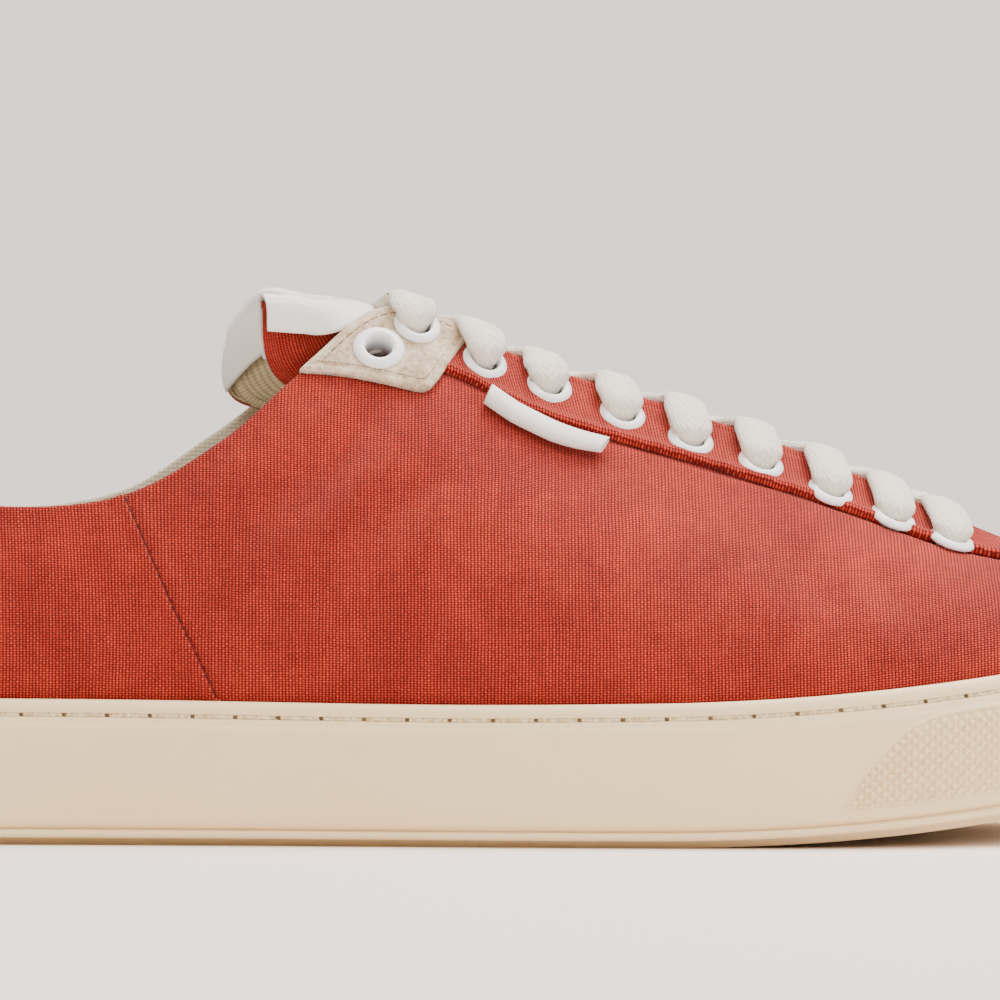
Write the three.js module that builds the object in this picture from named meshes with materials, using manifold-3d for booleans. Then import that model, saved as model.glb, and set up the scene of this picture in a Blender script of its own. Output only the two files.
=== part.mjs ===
// Low canvas lace-up sneaker with a stitched rubber cup sole: a right shoe, standing empty on its sole.
// Millimetres. +X runs to the toe, +Y to the inner (medial) side of the foot, -Y to the outer (lateral)
// side, +Z up. The origin lies on the floor under the middle of the sole.
import * as THREE from "three";
import { mergeVertices } from "three/addons/utils/BufferGeometryUtils.js";
import Module from "manifold-3d";

const wasm = await Module();
wasm.setup();

// ---------------------------------------------------------------- driving sizes
const gap = 0.3; // between pieces that touch
const samplesPerStation = 3; // round the shoe
const sole = {
  rimHeight: 27.9, // top of the side wall over the bottom
  waistDip: 1.0, // the rim is this much lower at the waist
  waistX: 5,
  waistSpan: 55,
  springStart: 40, // the toe lifts ahead of here
  springRise: 13,
  heelBevelStart: -130,
  heelBevelRise: 1.6,
  toeX: 150,
  heelX: -150,
  floorFore: 10, // rubber under the insole, forefoot and heel
  floorHeel: 14,
  wallInset: 3.9, // inner face of the cup wall, from the outline
};
const upperWall = 1.8; // canvas and lining together
const upperInset = sole.wallInset + gap;
const insole = { thick: 5, inset: upperInset + upperWall + gap };
const handle = { rise: 0.4, edge: 0.38 }; // curve handles of a section, as shares of its chord

// One row for each section round the shoe, from the middle of the heel along the lateral side to the
// toe and back along the medial side: the sole's outline, the opening's edge, and the angles from the
// horizontal at which the wall leaves the sole and reaches the edge.
const sections = [
  // name            soleX  soleY  edgeX  edgeY  edgeZ  rise edge
  ["heel back",      -150,    1,   -141,    1,   79,    99, 78],
  ["heel corner L",  -141.5, -23,  -134,  -17.5, 77,    97, 78],
  ["heel side L",    -118,  -35.5, -114,  -26.5, 70.5,  94, 76],
  ["ankle L",         -88,  -38.5,  -88,  -30.5, 64.7,  92, 72],
  ["ankle front L",   -60,  -40.5,  -62,  -31.5, 66.2,  91, 68],
  ["collar rise L",   -36,  -43,    -42,  -29,   77,    90, 62],
  ["instep L",        -12,  -46,    -26,  -22,   91,    89, 54],
  ["facing top L",      6,  -48.5,   -9,  -11.5, 102.3, 88, 50],
  ["facing upper L",   28,  -51,     18,   -9.5, 91.4,  87, 47],
  ["facing middle L",  52,  -52.8,   46,   -8,   82.5,  85, 43],
  ["ball L",           76,  -52.6,   72,   -6.5, 73.3,  83, 37],
  ["toe side L",      101,  -47,     95,   -4.5, 63.3,  82, 29],
  ["toe corner L",    125,  -34.5,  107,   -2,   58.3,  82, 22],
  ["toe shoulder L",  143,  -15,    110.5,  1,   56.9,  83, 19],
  ["toe tip",         150,    8,    111.5,  4.5, 56.5,  84, 18],
  ["toe shoulder M",  145,   27,    110.5,  8,   56.9,  83, 19],
  ["toe corner M",    130,   41.5,  107,   11,   58.3,  82, 22],
  ["toe side M",      106,   50,     95,   13.5, 63.3,  82, 29],
  ["ball M",           78,   53,     72,   15.5, 73.3,  83, 37],
  ["facing middle M",  50,   51.3,   46,   16.5, 82.5,  84, 43],
  ["facing upper M",   24,   45.5,   18,   17,   91.4,  86, 48],
  ["facing top M",      0,   38.5,   -9,   18,   102.3, 88, 52],
  ["instep M",        -20,   34.5,  -29,   26.5, 92,    90, 58],
  ["collar rise M",   -43,   32.5,  -46,   31,   78.5,  92, 64],
  ["ankle front M",   -66,   32.5,  -65,   32,   66.8,  93, 70],
  ["ankle M",         -92,   34,    -90,   30.5, 64.2,  94, 73],
  ["heel side M",    -120,   33.5, -115,   26.5, 70.5,  95, 76],
  ["heel corner M",  -142,   22.5, -134,   19,   77,    97, 78],
].map(([name, soleX, soleY, edgeX, edgeY, edgeZ, rise, edge]) => ({
  name, soleX, soleY, edgeX, edgeY, edgeZ, rise, edge,
}));
const ringCount = sections.length * samplesPerStation;

// ---------------------------------------------------------------- curves round the shoe
function closedCurve(pick) {
  const points = sections.map((row) => new THREE.Vector3(...pick(row)));
  return new THREE.CatmullRomCurve3(points, true, "catmullrom", 0.5);
}
const outlineCurve = closedCurve((row) => [row.soleX, row.soleY, 0]);
const edgeCurve = closedCurve((row) => [row.edgeX, row.edgeY, row.edgeZ]);
const angleCurve = closedCurve((row) => [row.rise, row.edge, 0]);
const around = (station) => (((station / sections.length) % 1) + 1) % 1; // station number to curve position

const square = (value) => value * value;
const bottomZ = (x) =>
  x > sole.springStart
    ? sole.springRise * square((x - sole.springStart) / (sole.toeX - sole.springStart))
    : x < sole.heelBevelStart
      ? sole.heelBevelRise * square((x - sole.heelBevelStart) / (sole.heelX - sole.heelBevelStart))
      : 0;
const rimZ = (x) =>
  bottomZ(x) + sole.rimHeight - sole.waistDip * Math.exp(-square((x - sole.waistX) / sole.waistSpan));
const floorZ = (x) =>
  bottomZ(x) + THREE.MathUtils.lerp(sole.floorHeel, sole.floorFore, THREE.MathUtils.smoothstep(x, -80, 50));

// The sole's outline moved inwards.
function outlinePoint(station, inset) {
  const t = around(station);
  const at = outlineCurve.getPoint(t);
  const along = outlineCurve.getTangent(t);
  return new THREE.Vector3(at.x - along.y * inset, at.y + along.x * inset, 0);
}

// ---------------------------------------------------------------- the last: the upper's outer face
// v from -1 (foot of the wall, inside the cup) through 0 (rim of the cup) to 1 (edge of the opening).
function lastPoint(station, v) {
  const foot = outlinePoint(station, upperInset);
  if (v <= 0) {
    foot.z = THREE.MathUtils.lerp(rimZ(foot.x), floorZ(foot.x) + gap, -v);
    return foot;
  }
  foot.z = rimZ(foot.x);
  const edge = edgeCurve.getPoint(around(station));
  const angles = angleCurve.getPoint(around(station)).multiplyScalar(Math.PI / 180);
  const inward = new THREE.Vector3(edge.x - foot.x, edge.y - foot.y, 0).normalize();
  const chord = foot.distanceTo(edge);
  const slope = (angle) => inward.clone().multiplyScalar(Math.cos(angle)).setZ(Math.sin(angle));
  const lower = foot.clone().addScaledVector(slope(angles.x), chord * handle.rise);
  const upper = edge.clone().addScaledVector(slope(angles.y), -chord * handle.edge);
  return new THREE.CubicBezierCurve3(foot, lower, upper, edge).getPoint(v);
}

function lastNormal(station, v) {
  const step = 0.02;
  const sideways = lastPoint(station + step, v).sub(lastPoint(station - step, v));
  const low = v <= 0 ? v : Math.max(v - step, 0);
  const high = v <= 0 ? v + step : Math.min(v + step, 1);
  const upwards = v < 0 ? new THREE.Vector3(0, 0, 1) : lastPoint(station, high).sub(lastPoint(station, low));
  return sideways.cross(upwards).normalize();
}

const lastOffset = (station, v, out) => lastPoint(station, v).addScaledVector(lastNormal(station, v), out);

// ---------------------------------------------------------------- closed meshes from rings
// Each ring is a closed row of points. Ends are capped by strips from side to side, or joined to each other.
// The first strip starts at the ring's first point, or between its first and last if they are a pair.
function loft(rings, { joined = false, paired = false } = {}) {
  const n = rings[0].length;
  const positions = rings.flat().flatMap((p) => [p.x, p.y, p.z]);
  const index = [];
  const quad = (a, b, c, d) => index.push(a, b, c, a, c, d);
  const spans = joined ? rings.length : rings.length - 1;
  for (let r = 0; r < spans; r++) {
    const low = r * n;
    const high = ((r + 1) % rings.length) * n;
    for (let i = 0; i < n; i++) quad(low + i, low + ((i + 1) % n), high + ((i + 1) % n), high + i);
  }
  if (!joined) {
    const last = paired ? n - 1 : n;
    const strips = paired ? n / 2 - 1 : n / 2;
    const cap = (base, flip) => {
      for (let i = 0; i < strips; i++) {
        const corners = [i, i + 1, last - 1 - i, (last - i) % n].map((k) => base + k);
        const [a, b, c, d] = flip ? corners : corners.reverse();
        if (a !== b && b !== c) index.push(a, b, c);
        if (a !== d && c !== d) index.push(a, c, d);
      }
    };
    cap(0, false);
    cap((rings.length - 1) * n, true);
  }
  const geometry = new THREE.BufferGeometry();
  geometry.setAttribute("position", new THREE.Float32BufferAttribute(positions, 3));
  geometry.setIndex(index);
  return geometry;
}

const ring = (point) => Array.from({ length: ringCount }, (_, i) => point(i / samplesPerStation));

function solidOf(geometry) {
  const bare = geometry.clone();
  bare.deleteAttribute("normal");
  bare.deleteAttribute("uv");
  const merged = mergeVertices(bare, 1e-4);
  const made = new wasm.Manifold(
    new wasm.Mesh({
      numProp: 3,
      vertProperties: new Float32Array(merged.attributes.position.array),
      triVerts: new Uint32Array(merged.index.array),
    }),
  );
  if (made.volume() < 0) throw new Error("a mesh is inside out");
  return made;
}

function geometryOf(solid) {
  const mesh = solid.getMesh();
  const geometry = new THREE.BufferGeometry();
  geometry.setAttribute("position", new THREE.Float32BufferAttribute(mesh.vertProperties, 3));
  geometry.setIndex(new THREE.Uint32BufferAttribute(mesh.triVerts, 1));
  geometry.computeVertexNormals();
  return geometry;
}

// What is left of a solid clear of another one on every side.
function clearOf(solid, other) {
  let left = solid.subtract(other);
  for (const way of [[gap, 0, 0], [-gap, 0, 0], [0, gap, 0], [0, -gap, 0], [0, 0, gap], [0, 0, -gap]])
    left = left.subtract(other.translate(...way));
  const [biggest] = left.decompose().toSorted((a, b) => b.volume() - a.volume());
  return biggest;
}

// ---------------------------------------------------------------- upper
const upperRows = [-1, 0, 0.16, 0.36, 0.58, 0.8, 1];
function shell(inner, outer, rows = upperRows) {
  return loft(
    [
      ...rows.map((v) => ring((s) => lastOffset(s, v, outer))),
      ...rows.toReversed().map((v) => ring((s) => lastOffset(s, v, inner))),
    ],
    { joined: true },
  );
}

// Where the outer face passes a point given in side view.
function onSide(firstStation, x, z) {
  let station = firstStation;
  let v = 0.8;
  const step = 0.01;
  for (let turn = 0; turn < 40; turn++) {
    const at = lastPoint(station, v);
    const round = lastPoint(station + step, v).sub(at).divideScalar(step);
    const above = Math.min(v + step, 1);
    const rise = lastPoint(station, above).sub(lastPoint(station, above - step)).divideScalar(step);
    const det = round.x * rise.z - round.z * rise.x;
    const dx = x - at.x;
    const dz = z - at.z;
    station += THREE.MathUtils.clamp((dx * rise.z - dz * rise.x) / det, -0.8, 0.8);
    v = THREE.MathUtils.clamp(v + (round.x * dz - round.z * dx) / det, 0.02, 1);
  }
  return { at: lastPoint(station, v), normal: lastNormal(station, v), station, v };
}

// How far down the section a distance from the edge lies.
function belowEdge(station, distance) {
  const edge = lastPoint(station, 1);
  let v = 1;
  while (v > 0 && lastPoint(station, v).distanceTo(edge) < distance) v -= 0.01;
  return v;
}

// ---------------------------------------------------------------- the pieces
const shoe = new THREE.Group();
const finishes = {
  canvas: new THREE.MeshStandardMaterial({ color: 0xc8432f, roughness: 0.9 }),
  rubber: new THREE.MeshStandardMaterial({ color: 0xe3d6c3, roughness: 0.55 }),
  foam: new THREE.MeshStandardMaterial({ color: 0xb9ad93, roughness: 0.9 }),
  suede: new THREE.MeshStandardMaterial({ color: 0xcfc0ab, roughness: 0.95 }),
  enamel: new THREE.MeshStandardMaterial({ color: 0xf4f6f8, roughness: 0.3 }),
  cotton: new THREE.MeshStandardMaterial({ color: 0xf3efe8, roughness: 0.95 }),
  ribbon: new THREE.MeshStandardMaterial({ color: 0xece9e4, roughness: 0.6 }),
};
function add(name, geometry, finish) {
  const mesh = new THREE.Mesh(geometry, finishes[finish]);
  mesh.name = name;
  shoe.add(mesh);
}

// Cup sole: inset from the outline and height over the bottom, from the tread up the wall and into the cup.
const wallProfile = [
  { inset: 2.6, up: 0 },
  { inset: 0.9, up: 1 },
  { inset: 0.5, up: 2.6 }, // bottom lip
  { inset: 1.4, up: 3.3 }, // groove over the lip
  { inset: 0.4, up: 7 },
  { inset: 0, up: 16 },
  { inset: 1.8, up: sole.rimHeight },
];
const wallZ = (x, up) => bottomZ(x) + ((rimZ(x) - bottomZ(x)) * up) / sole.rimHeight;
const soleRing = (inset, height) =>
  ring((s) => {
    const p = outlinePoint(s, inset);
    p.z = height(p.x);
    return p;
  });
let soleSolid = solidOf(
  loft([
    ...wallProfile.map(({ inset, up }) => soleRing(inset, (x) => wallZ(x, up))),
    soleRing(sole.wallInset, rimZ),
    soleRing(sole.wallInset, floorZ),
  ]),
);

// Tread: zigzag grooves across the heel and the forefoot, inside a plain border.
const tread = {
  depth: 1.6,
  width: 3,
  border: 11,
  teeth: 4, // on each half
  tooth: 5,
  pitch: 10.5,
  half: 60, // of a groove's length, before the border cuts it
  below: 4, // a groove's cutter starts this far under the bottom
  height: 12, // of the block the grooves lie in
};
const treadFields = [
  { first: -132, count: 6 },
  { first: 14, count: 9 },
];
const treadBorder = solidOf(
  loft([soleRing(tread.border, () => -1), soleRing(tread.border, () => tread.height)]),
);
function zigzagGroove(x) {
  const across = Array.from({ length: 2 * tread.teeth + 1 }, (_, k) => ({
    dx: k % 2 ? tread.tooth : 0,
    y: (k / tread.teeth - 1) * tread.half,
  }));
  const front = across.map(({ dx, y }) => new THREE.Vector2(x + dx + tread.width, y));
  const back = across.toReversed().map(({ dx, y }) => new THREE.Vector2(x + dx, y));
  const groove = new THREE.ExtrudeGeometry(new THREE.Shape([...front, ...back]), {
    depth: tread.depth + tread.below,
    bevelEnabled: false,
  });
  groove.translate(0, 0, bottomZ(x + tread.tooth) - tread.below);
  return solidOf(groove).intersect(treadBorder);
}
for (const { first, count } of treadFields)
  for (let k = 0; k < count; k++) soleSolid = soleSolid.subtract(zigzagGroove(first + k * tread.pitch));
add("sole", geometryOf(soleSolid), "rubber");

add(
  "insole",
  loft([
    soleRing(insole.inset, (x) => floorZ(x) + gap),
    soleRing(insole.inset, (x) => floorZ(x) + gap + insole.thick),
  ]),
  "foam",
);

// Eyelets, in side view, from the lock eyelet at the instep to the last one at the toe.
const eyeletPlaces = [
  { x: -12.3, z: 93.9, big: true },
  { x: -5.2, z: 98.2 },
  { x: 8, z: 91.9 },
  { x: 20.6, z: 87.1 },
  { x: 34.8, z: 81.7 },
  { x: 48, z: 76.7 },
  { x: 61.6, z: 72.1 },
  { x: 75, z: 66.6 },
  { x: 87.1, z: 61.6 },
  { x: 98.5, z: 57.2 },
];
const eyelet = {
  hole: 2.4,
  barrel: 2.9,
  flange: 4.4,
  bigFlange: 4.7, // on the lock eyelet
  back: 3.8, // inner flange
  thick: 0.9,
  rim: 0.4,
  clear: 0.5, // under each flange, where the wall curves
  sides: 8,
};
const patch = { thick: 1.2, eyelets: 2, depth: 62 }; // depth: of the prism it is cut with
const seatedEyelets = 3; // flat seats are pressed for these, where the wall curves most
const patchOutline = [
  { x: -26.6, z: 90.4 },
  { x: -18.4, z: 89.2 },
  { x: -9.8, z: 87.5 },
  { x: -3.4, z: 86.2 },
  { x: -1.6, z: 87.2 },
  { x: 1.1, z: 91.7 },
  { x: 4.4, z: 96.8 },
  { x: 8, z: 106 }, // over the facing's end
  { x: -12, z: 112 },
  { x: -36, z: 98 },
];
const reach = 8; // of a drill, past the faces it goes through
const halves = [
  { tag: "lateral", firstStation: 9, prismY: 2 },
  { tag: "medial", firstStation: 19, prismY: 64 },
];

// A ring turned about the surface's normal. Each profile row is a radius and a height over the surface.
function turned(profile, { at, normal }) {
  const points = [...profile, profile[0]].map(([radius, height]) => new THREE.Vector2(radius, height));
  return new THREE.LatheGeometry(points, eyelet.sides)
    .applyQuaternion(new THREE.Quaternion().setFromUnitVectors(new THREE.Vector3(0, 1, 0), normal))
    .translate(at.x, at.y, at.z);
}

let upper = solidOf(shell(-upperWall, 0));
const lacing = { lateral: [], medial: [] }; // where each eyelet sits
for (const { tag, firstStation, prismY } of halves) {
  // Suede corner piece: a band outside the upper, cut to the corner's outline in side view.
  const outline = new THREE.Shape(patchOutline.map(({ x, z }) => new THREE.Vector2(x, z)));
  const prism = new THREE.ExtrudeGeometry(outline, { depth: patch.depth, bevelEnabled: false })
    .rotateX(Math.PI / 2)
    .translate(0, prismY, 0);
  const band = solidOf(shell(gap, gap + patch.thick, upperRows.slice(3)));
  let corner = clearOf(band.intersect(solidOf(prism)), upper);

  eyeletPlaces.forEach(({ x, z, big }, k) => {
    const place = onSide(firstStation, x, z);
    const seat = k < patch.eyelets ? gap + patch.thick : 0;
    const stands = seat + eyelet.clear;
    const flange = big ? eyelet.bigFlange : eyelet.flange;
    const inside = -upperWall - eyelet.clear;
    const body = [
      [eyelet.hole, inside - eyelet.rim],
      [eyelet.back, inside],
      [eyelet.barrel, inside],
      [eyelet.barrel, stands],
      [flange, stands],
      [flange - eyelet.thick, stands + eyelet.thick],
      [eyelet.hole, stands + eyelet.thick],
    ];
    const inner = k < seatedEyelets ? eyelet.back : eyelet.barrel;
    const outer = k < seatedEyelets ? flange : eyelet.barrel;
    const hole = [
      [0, -upperWall - reach],
      [inner + gap, -upperWall - reach],
      [inner + gap, -upperWall],
      [eyelet.barrel + gap, -upperWall],
      [eyelet.barrel + gap, seat],
      [outer + gap, seat],
      [outer + gap, seat + reach],
      [0, seat + reach],
    ];
    add("eyelet_" + tag + "_" + (k + 1), turned(body, place), "enamel");
    lacing[tag].push({ ...place, top: stands + eyelet.thick });
    const drill = solidOf(turned(hole, place));
    upper = upper.subtract(drill);
    if (k < patch.eyelets) corner = corner.subtract(drill);
  });
  add("patch_" + tag, geometryOf(corner), "suede");
}
add("upper", geometryOf(upper), "canvas");

// Tongue: rows of points on the middle of its thickness, from under the vamp up to the free end. Wings
// lie under the facings, then the last three rows stand up out of the collar.
const tongue = { thick: 2.6, crown: 0.8 };
tongue.under = upperWall + eyelet.clear + eyelet.rim + gap + tongue.thick / 2;
const wingRows = [
  { lateral: 12.4, medial: 15.6, wing: 8, deeper: 0.6 },
  { lateral: 11.4, medial: 16.6, wing: 12, deeper: 0.6 },
  { lateral: 10, medial: 18, wing: 15, deeper: 0.3 },
  { lateral: 9, medial: 19, wing: 18 },
  { lateral: 8, medial: 20, wing: 20, deeper: 0.6 },
  { lateral: 7, medial: 21, wing: 23, deeper: 2.2 },
];
const rootRow = [
  { x: -31, y: -18.5, z: 88 },
  { x: -24, y: -15.6, z: 91 },
  { x: -16, y: -11.6, z: 96.6 },
  { x: -11.5, y: 2.8, z: 99.6 },
  { x: -20, y: 14.6, z: 95 },
  { x: -30.5, y: 19.8, z: 88.5 },
  { x: -40.5, y: 23.4, z: 84.5 },
];
const endRow = [
  { x: -35, y: -21, z: 104 },
  { x: -28.5, y: -18, z: 103.6 },
  { x: -23, y: -13.8, z: 102.6 },
  { x: -18.6, y: 1, z: 101.6 },
  { x: -26, y: 16, z: 100 },
  { x: -35, y: 21, z: 98.6 },
  { x: -43, y: 24, z: 96.5 },
];
function wingRow({ lateral, medial, wing, deeper = 0 }) {
  const face = (station, back) => lastOffset(station, belowEdge(station, back), -tongue.under - deeper);
  const centre = face(lateral, 0).lerp(face(medial, 0), 0.5);
  centre.z += tongue.crown;
  const wingShares = [1, 0.6, 0.25];
  return [
    ...wingShares.map((share) => face(lateral, wing * share)),
    centre,
    ...wingShares.toReversed().map((share) => face(medial, wing * share)),
  ];
}
const freeRow = (row) => row.map(({ x, y, z }) => new THREE.Vector3(x, y, z));
const labelRow = freeRow(rootRow).map((p, c) => p.lerp(freeRow(endRow)[c], 0.5)); // the label ends near it
const tongueRows = [...wingRows.map(wingRow), freeRow(rootRow), labelRow, freeRow(endRow)];

// Outward normal of a grid of points at one of them.
function gridNormal(rows, r, c) {
  const along = rows[Math.min(r + 1, rows.length - 1)][c].clone().sub(rows[Math.max(r - 1, 0)][c]);
  const across = rows[r][Math.min(c + 1, rows[r].length - 1)].clone().sub(rows[r][Math.max(c - 1, 0)]);
  return across.cross(along).normalize();
}
const offGrid = (rows, r, c, out) => rows[r][c].clone().addScaledVector(gridNormal(rows, r, c), out);
const tongueSolid = solidOf(
  loft(
    tongueRows.map((row, r) => [
      ...row.map((_, c) => offGrid(tongueRows, r, c, tongue.thick / 2)),
      ...row.map((_, c) => offGrid(tongueRows, r, c, -tongue.thick / 2)).toReversed(),
    ]),
    { paired: true },
  ),
);
add("tongue", geometryOf(tongueSolid), "canvas");

// Woven label folded over the tongue's free end, from the label row on the outside to the same row inside.
const foldedLabel = { thick: 0.8, slack: 1.0, over: 2.2, columns: [1, 2, 3, 4, 5] };
const labelNear = tongue.thick / 2 + foldedLabel.slack;
const labelFar = labelNear + foldedLabel.thick;
const freeEnd = tongueRows.length - 1;
const labelFold = [
  { row: freeEnd - 1, past: 0, out: labelNear },
  { row: freeEnd, past: foldedLabel.over, out: labelNear },
  { row: freeEnd, past: foldedLabel.over, out: -labelNear },
  { row: freeEnd - 1, past: 0, out: -labelNear },
  { row: freeEnd - 1, past: 0, out: -labelFar },
  { row: freeEnd, past: foldedLabel.over + foldedLabel.thick, out: -labelFar },
  { row: freeEnd, past: foldedLabel.over + foldedLabel.thick, out: labelFar },
  { row: freeEnd - 1, past: 0, out: labelFar },
];
const tongueLabel = solidOf(
  loft(
    foldedLabel.columns.map((c) => {
      const upwards = tongueRows[freeEnd][c].clone().sub(tongueRows[freeEnd - 1][c]).normalize();
      return labelFold.map(({ row, past, out }) =>
        offGrid(tongueRows, row, c, out).addScaledVector(upwards, past),
      );
    }),
    { paired: true },
  ),
);
add("tongue_label", geometryOf(tongueLabel), "ribbon");

// Small ribbon tube sewn along the lateral facing seam.
const sideLabel = { high: 3.4, proud: 2.4, wall: 0.5, sides: 8 };
const sideLabelRun = [
  { x: 8, z: 86 },
  { x: 16, z: 82.4 },
  { x: 23.5, z: 79 },
  { x: 31, z: 75 },
];
function tubeRing({ x, z }, wall) {
  const { at, normal } = onSide(halves[0].firstStation, x, z);
  const middle = at.clone().addScaledVector(normal, gap + sideLabel.proud / 2 + gap);
  const upwards = new THREE.Vector3(0.4, 0, 0.9).projectOnPlane(normal).normalize();
  return Array.from({ length: sideLabel.sides }, (_, i) => {
    const angle = (2 * Math.PI * i) / sideLabel.sides;
    return middle
      .clone()
      .addScaledVector(upwards, Math.cos(angle) * (sideLabel.high / 2 - wall))
      .addScaledVector(normal, Math.sin(angle) * (sideLabel.proud / 2 - wall));
  });
}
add(
  "side_label",
  loft(
    [
      ...sideLabelRun.map((place) => tubeRing(place, 0)),
      ...sideLabelRun.toReversed().map((place) => tubeRing(place, sideLabel.wall)),
    ],
    { joined: true },
  ),
  "ribbon",
);

// Lace: each crossing is two flat straps. A strap starts over its eyelet, passes the edge of the facing,
// crosses the tongue and stops short of the opposite edge.
const lace = { wide: 7, thick: 1.2, lean: 0.25, arrive: 0.7, reach: 0.6, dip: 0.4, clear: 1.1 };
const others = { lateral: "medial", medial: "lateral" };
function strap(tag, k) {
  const from = lacing[tag][k + 1];
  const towards = lacing[tag][k];
  const across = lacing[others[tag]];
  const leave = THREE.MathUtils.lerp(from.station, towards.station, lace.lean);
  const arrive = THREE.MathUtils.lerp(across[k + 1].station, across[k].station, lace.arrive);
  const half = lace.thick / 2;
  const atEyelet = from.at.clone().addScaledVector(from.normal, from.top + lace.clear + half);
  const atEdge = lastOffset(leave, 1, Math.max(from.top, towards.top) + lace.clear + half);
  const farEdge = lastPoint(arrive, 1);
  const middle = lastPoint(leave, 1).lerp(farEdge, 0.5);
  middle.z += half;
  const end = lastPoint(leave, 1).lerp(farEdge, lace.reach);
  end.z -= lace.dip;
  const run = [atEyelet, atEdge, middle, end];
  const overTongue = new THREE.Vector3(0.35, 0, 1);
  const faces = [from.normal, lastNormal(leave, 1), overTongue, overTongue];
  return loft(
    run.map((point, i) => {
      const along = run[Math.min(i + 1, 3)].clone().sub(run[Math.max(i - 1, 0)]).normalize();
      const outwards = faces[i].clone().projectOnPlane(along).setLength(half);
      const sideways = along.clone().cross(outwards).setLength(lace.wide / 2);
      return [[-1, -1], [-1, 1], [1, 1], [1, -1]].map(([w, t]) =>
        point.clone().addScaledVector(sideways, w).addScaledVector(outwards, t),
      );
    }),
  );
}
for (let k = 0; k < eyeletPlaces.length - 1; k++) {
  const straps = halves.map(({ tag }) => solidOf(strap(tag, k)));
  const crossing = straps[0].add(straps[1]);
  add("lace_cross_" + (k + 1), geometryOf(k ? crossing : clearOf(crossing, tongueLabel)), "cotton");
}

export default shoe;
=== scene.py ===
# Low canvas lace-up sneaker, right foot: the visual model over its CAD frame.
# Sizes are in millimetres and turned to metres when a mesh is made. +X is the toe, -Y the outer side.
import bpy
import bmesh
import math
import random
import numpy as np
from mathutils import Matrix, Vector


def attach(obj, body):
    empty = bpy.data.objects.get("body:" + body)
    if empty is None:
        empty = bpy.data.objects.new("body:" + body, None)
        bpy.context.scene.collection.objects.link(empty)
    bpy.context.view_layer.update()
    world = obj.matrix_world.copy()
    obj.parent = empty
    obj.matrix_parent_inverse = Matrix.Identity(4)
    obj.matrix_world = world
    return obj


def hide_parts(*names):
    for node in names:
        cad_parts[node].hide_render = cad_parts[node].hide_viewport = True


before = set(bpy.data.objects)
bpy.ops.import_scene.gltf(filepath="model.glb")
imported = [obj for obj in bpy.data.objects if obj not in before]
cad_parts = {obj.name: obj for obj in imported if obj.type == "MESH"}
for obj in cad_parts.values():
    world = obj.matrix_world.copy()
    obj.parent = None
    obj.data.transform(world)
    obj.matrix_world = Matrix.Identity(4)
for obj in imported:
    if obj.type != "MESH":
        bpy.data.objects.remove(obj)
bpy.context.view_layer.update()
mm = 0.001
random.seed(4)

# ---- the last: one row for each section round the shoe, from the heel along the outer side to the toe
# and back: the sole's outline, the opening's edge, and the angles at the foot and at the edge
sections = np.array([
    # soleX  soleY   edgeX  edgeY  edgeZ  rise edge
    [-150, 1, -141, 1, 79, 99, 78],
    [-141.5, -23, -134, -17.5, 77, 97, 78],
    [-118, -35.5, -114, -26.5, 70.5, 94, 76],
    [-88, -38.5, -88, -30.5, 64.7, 92, 72],
    [-60, -40.5, -62, -31.5, 66.2, 91, 68],
    [-36, -43, -42, -29, 77, 90, 62],
    [-12, -46, -26, -22, 91, 89, 54],
    [6, -48.5, -9, -11.5, 102.3, 88, 50],
    [28, -51, 18, -9.5, 91.4, 87, 47],
    [52, -52.8, 46, -8, 82.5, 85, 43],
    [76, -52.6, 72, -6.5, 73.3, 83, 37],
    [101, -47, 95, -4.5, 63.3, 82, 29],
    [125, -34.5, 107, -2, 58.3, 82, 22],
    [143, -15, 110.5, 1, 56.9, 83, 19],
    [150, 8, 111.5, 4.5, 56.5, 84, 18],
    [145, 27, 110.5, 8, 56.9, 83, 19],
    [130, 41.5, 107, 11, 58.3, 82, 22],
    [106, 50, 95, 13.5, 63.3, 82, 29],
    [78, 53, 72, 15.5, 73.3, 83, 37],
    [50, 51.3, 46, 16.5, 82.5, 84, 43],
    [24, 45.5, 18, 17, 91.4, 86, 48],
    [0, 38.5, -9, 18, 102.3, 88, 52],
    [-20, 34.5, -29, 26.5, 92, 90, 58],
    [-43, 32.5, -46, 31, 78.5, 92, 64],
    [-66, 32.5, -65, 32, 66.8, 93, 70],
    [-92, 34, -90, 30.5, 64.2, 94, 73],
    [-120, 33.5, -115, 26.5, 70.5, 95, 76],
    [-142, 22.5, -134, 19, 77, 97, 78],
], dtype=float)
stations = len(sections)
soleSize = dict(rim=27.9, waistDip=1.0, waistX=5, waistSpan=55, springStart=40, springRise=13, toeX=150,
                heelX=-150, bevelStart=-130, bevelRise=1.6, floorFore=10, floorHeel=14, wallInset=3.9)
upperSize = dict(wall=1.8, inset=4.2, riseHandle=0.4, edgeHandle=0.38)


def rowCurve(s, columns):  # smooth closed curve through the sections' columns
    s = np.asarray(s, float) % stations
    i = np.floor(s).astype(int)
    t = (s - i)[..., None]
    p0, p1, p2, p3 = (sections[(i + k) % stations][..., columns] for k in (-1, 0, 1, 2))
    square, cube = 2 * p0 - 5 * p1 + 4 * p2 - p3, 3 * p1 - p0 - 3 * p2 + p3
    return 0.5 * (2 * p1 + (p2 - p0) * t + square * t**2 + cube * t**3)


def unit(v):
    return v / np.maximum(np.linalg.norm(v, axis=-1, keepdims=True), 1e-9)


def smooth(x, low, high):
    t = np.clip((x - low) / (high - low), 0, 1)
    return t * t * (3 - 2 * t)


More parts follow.
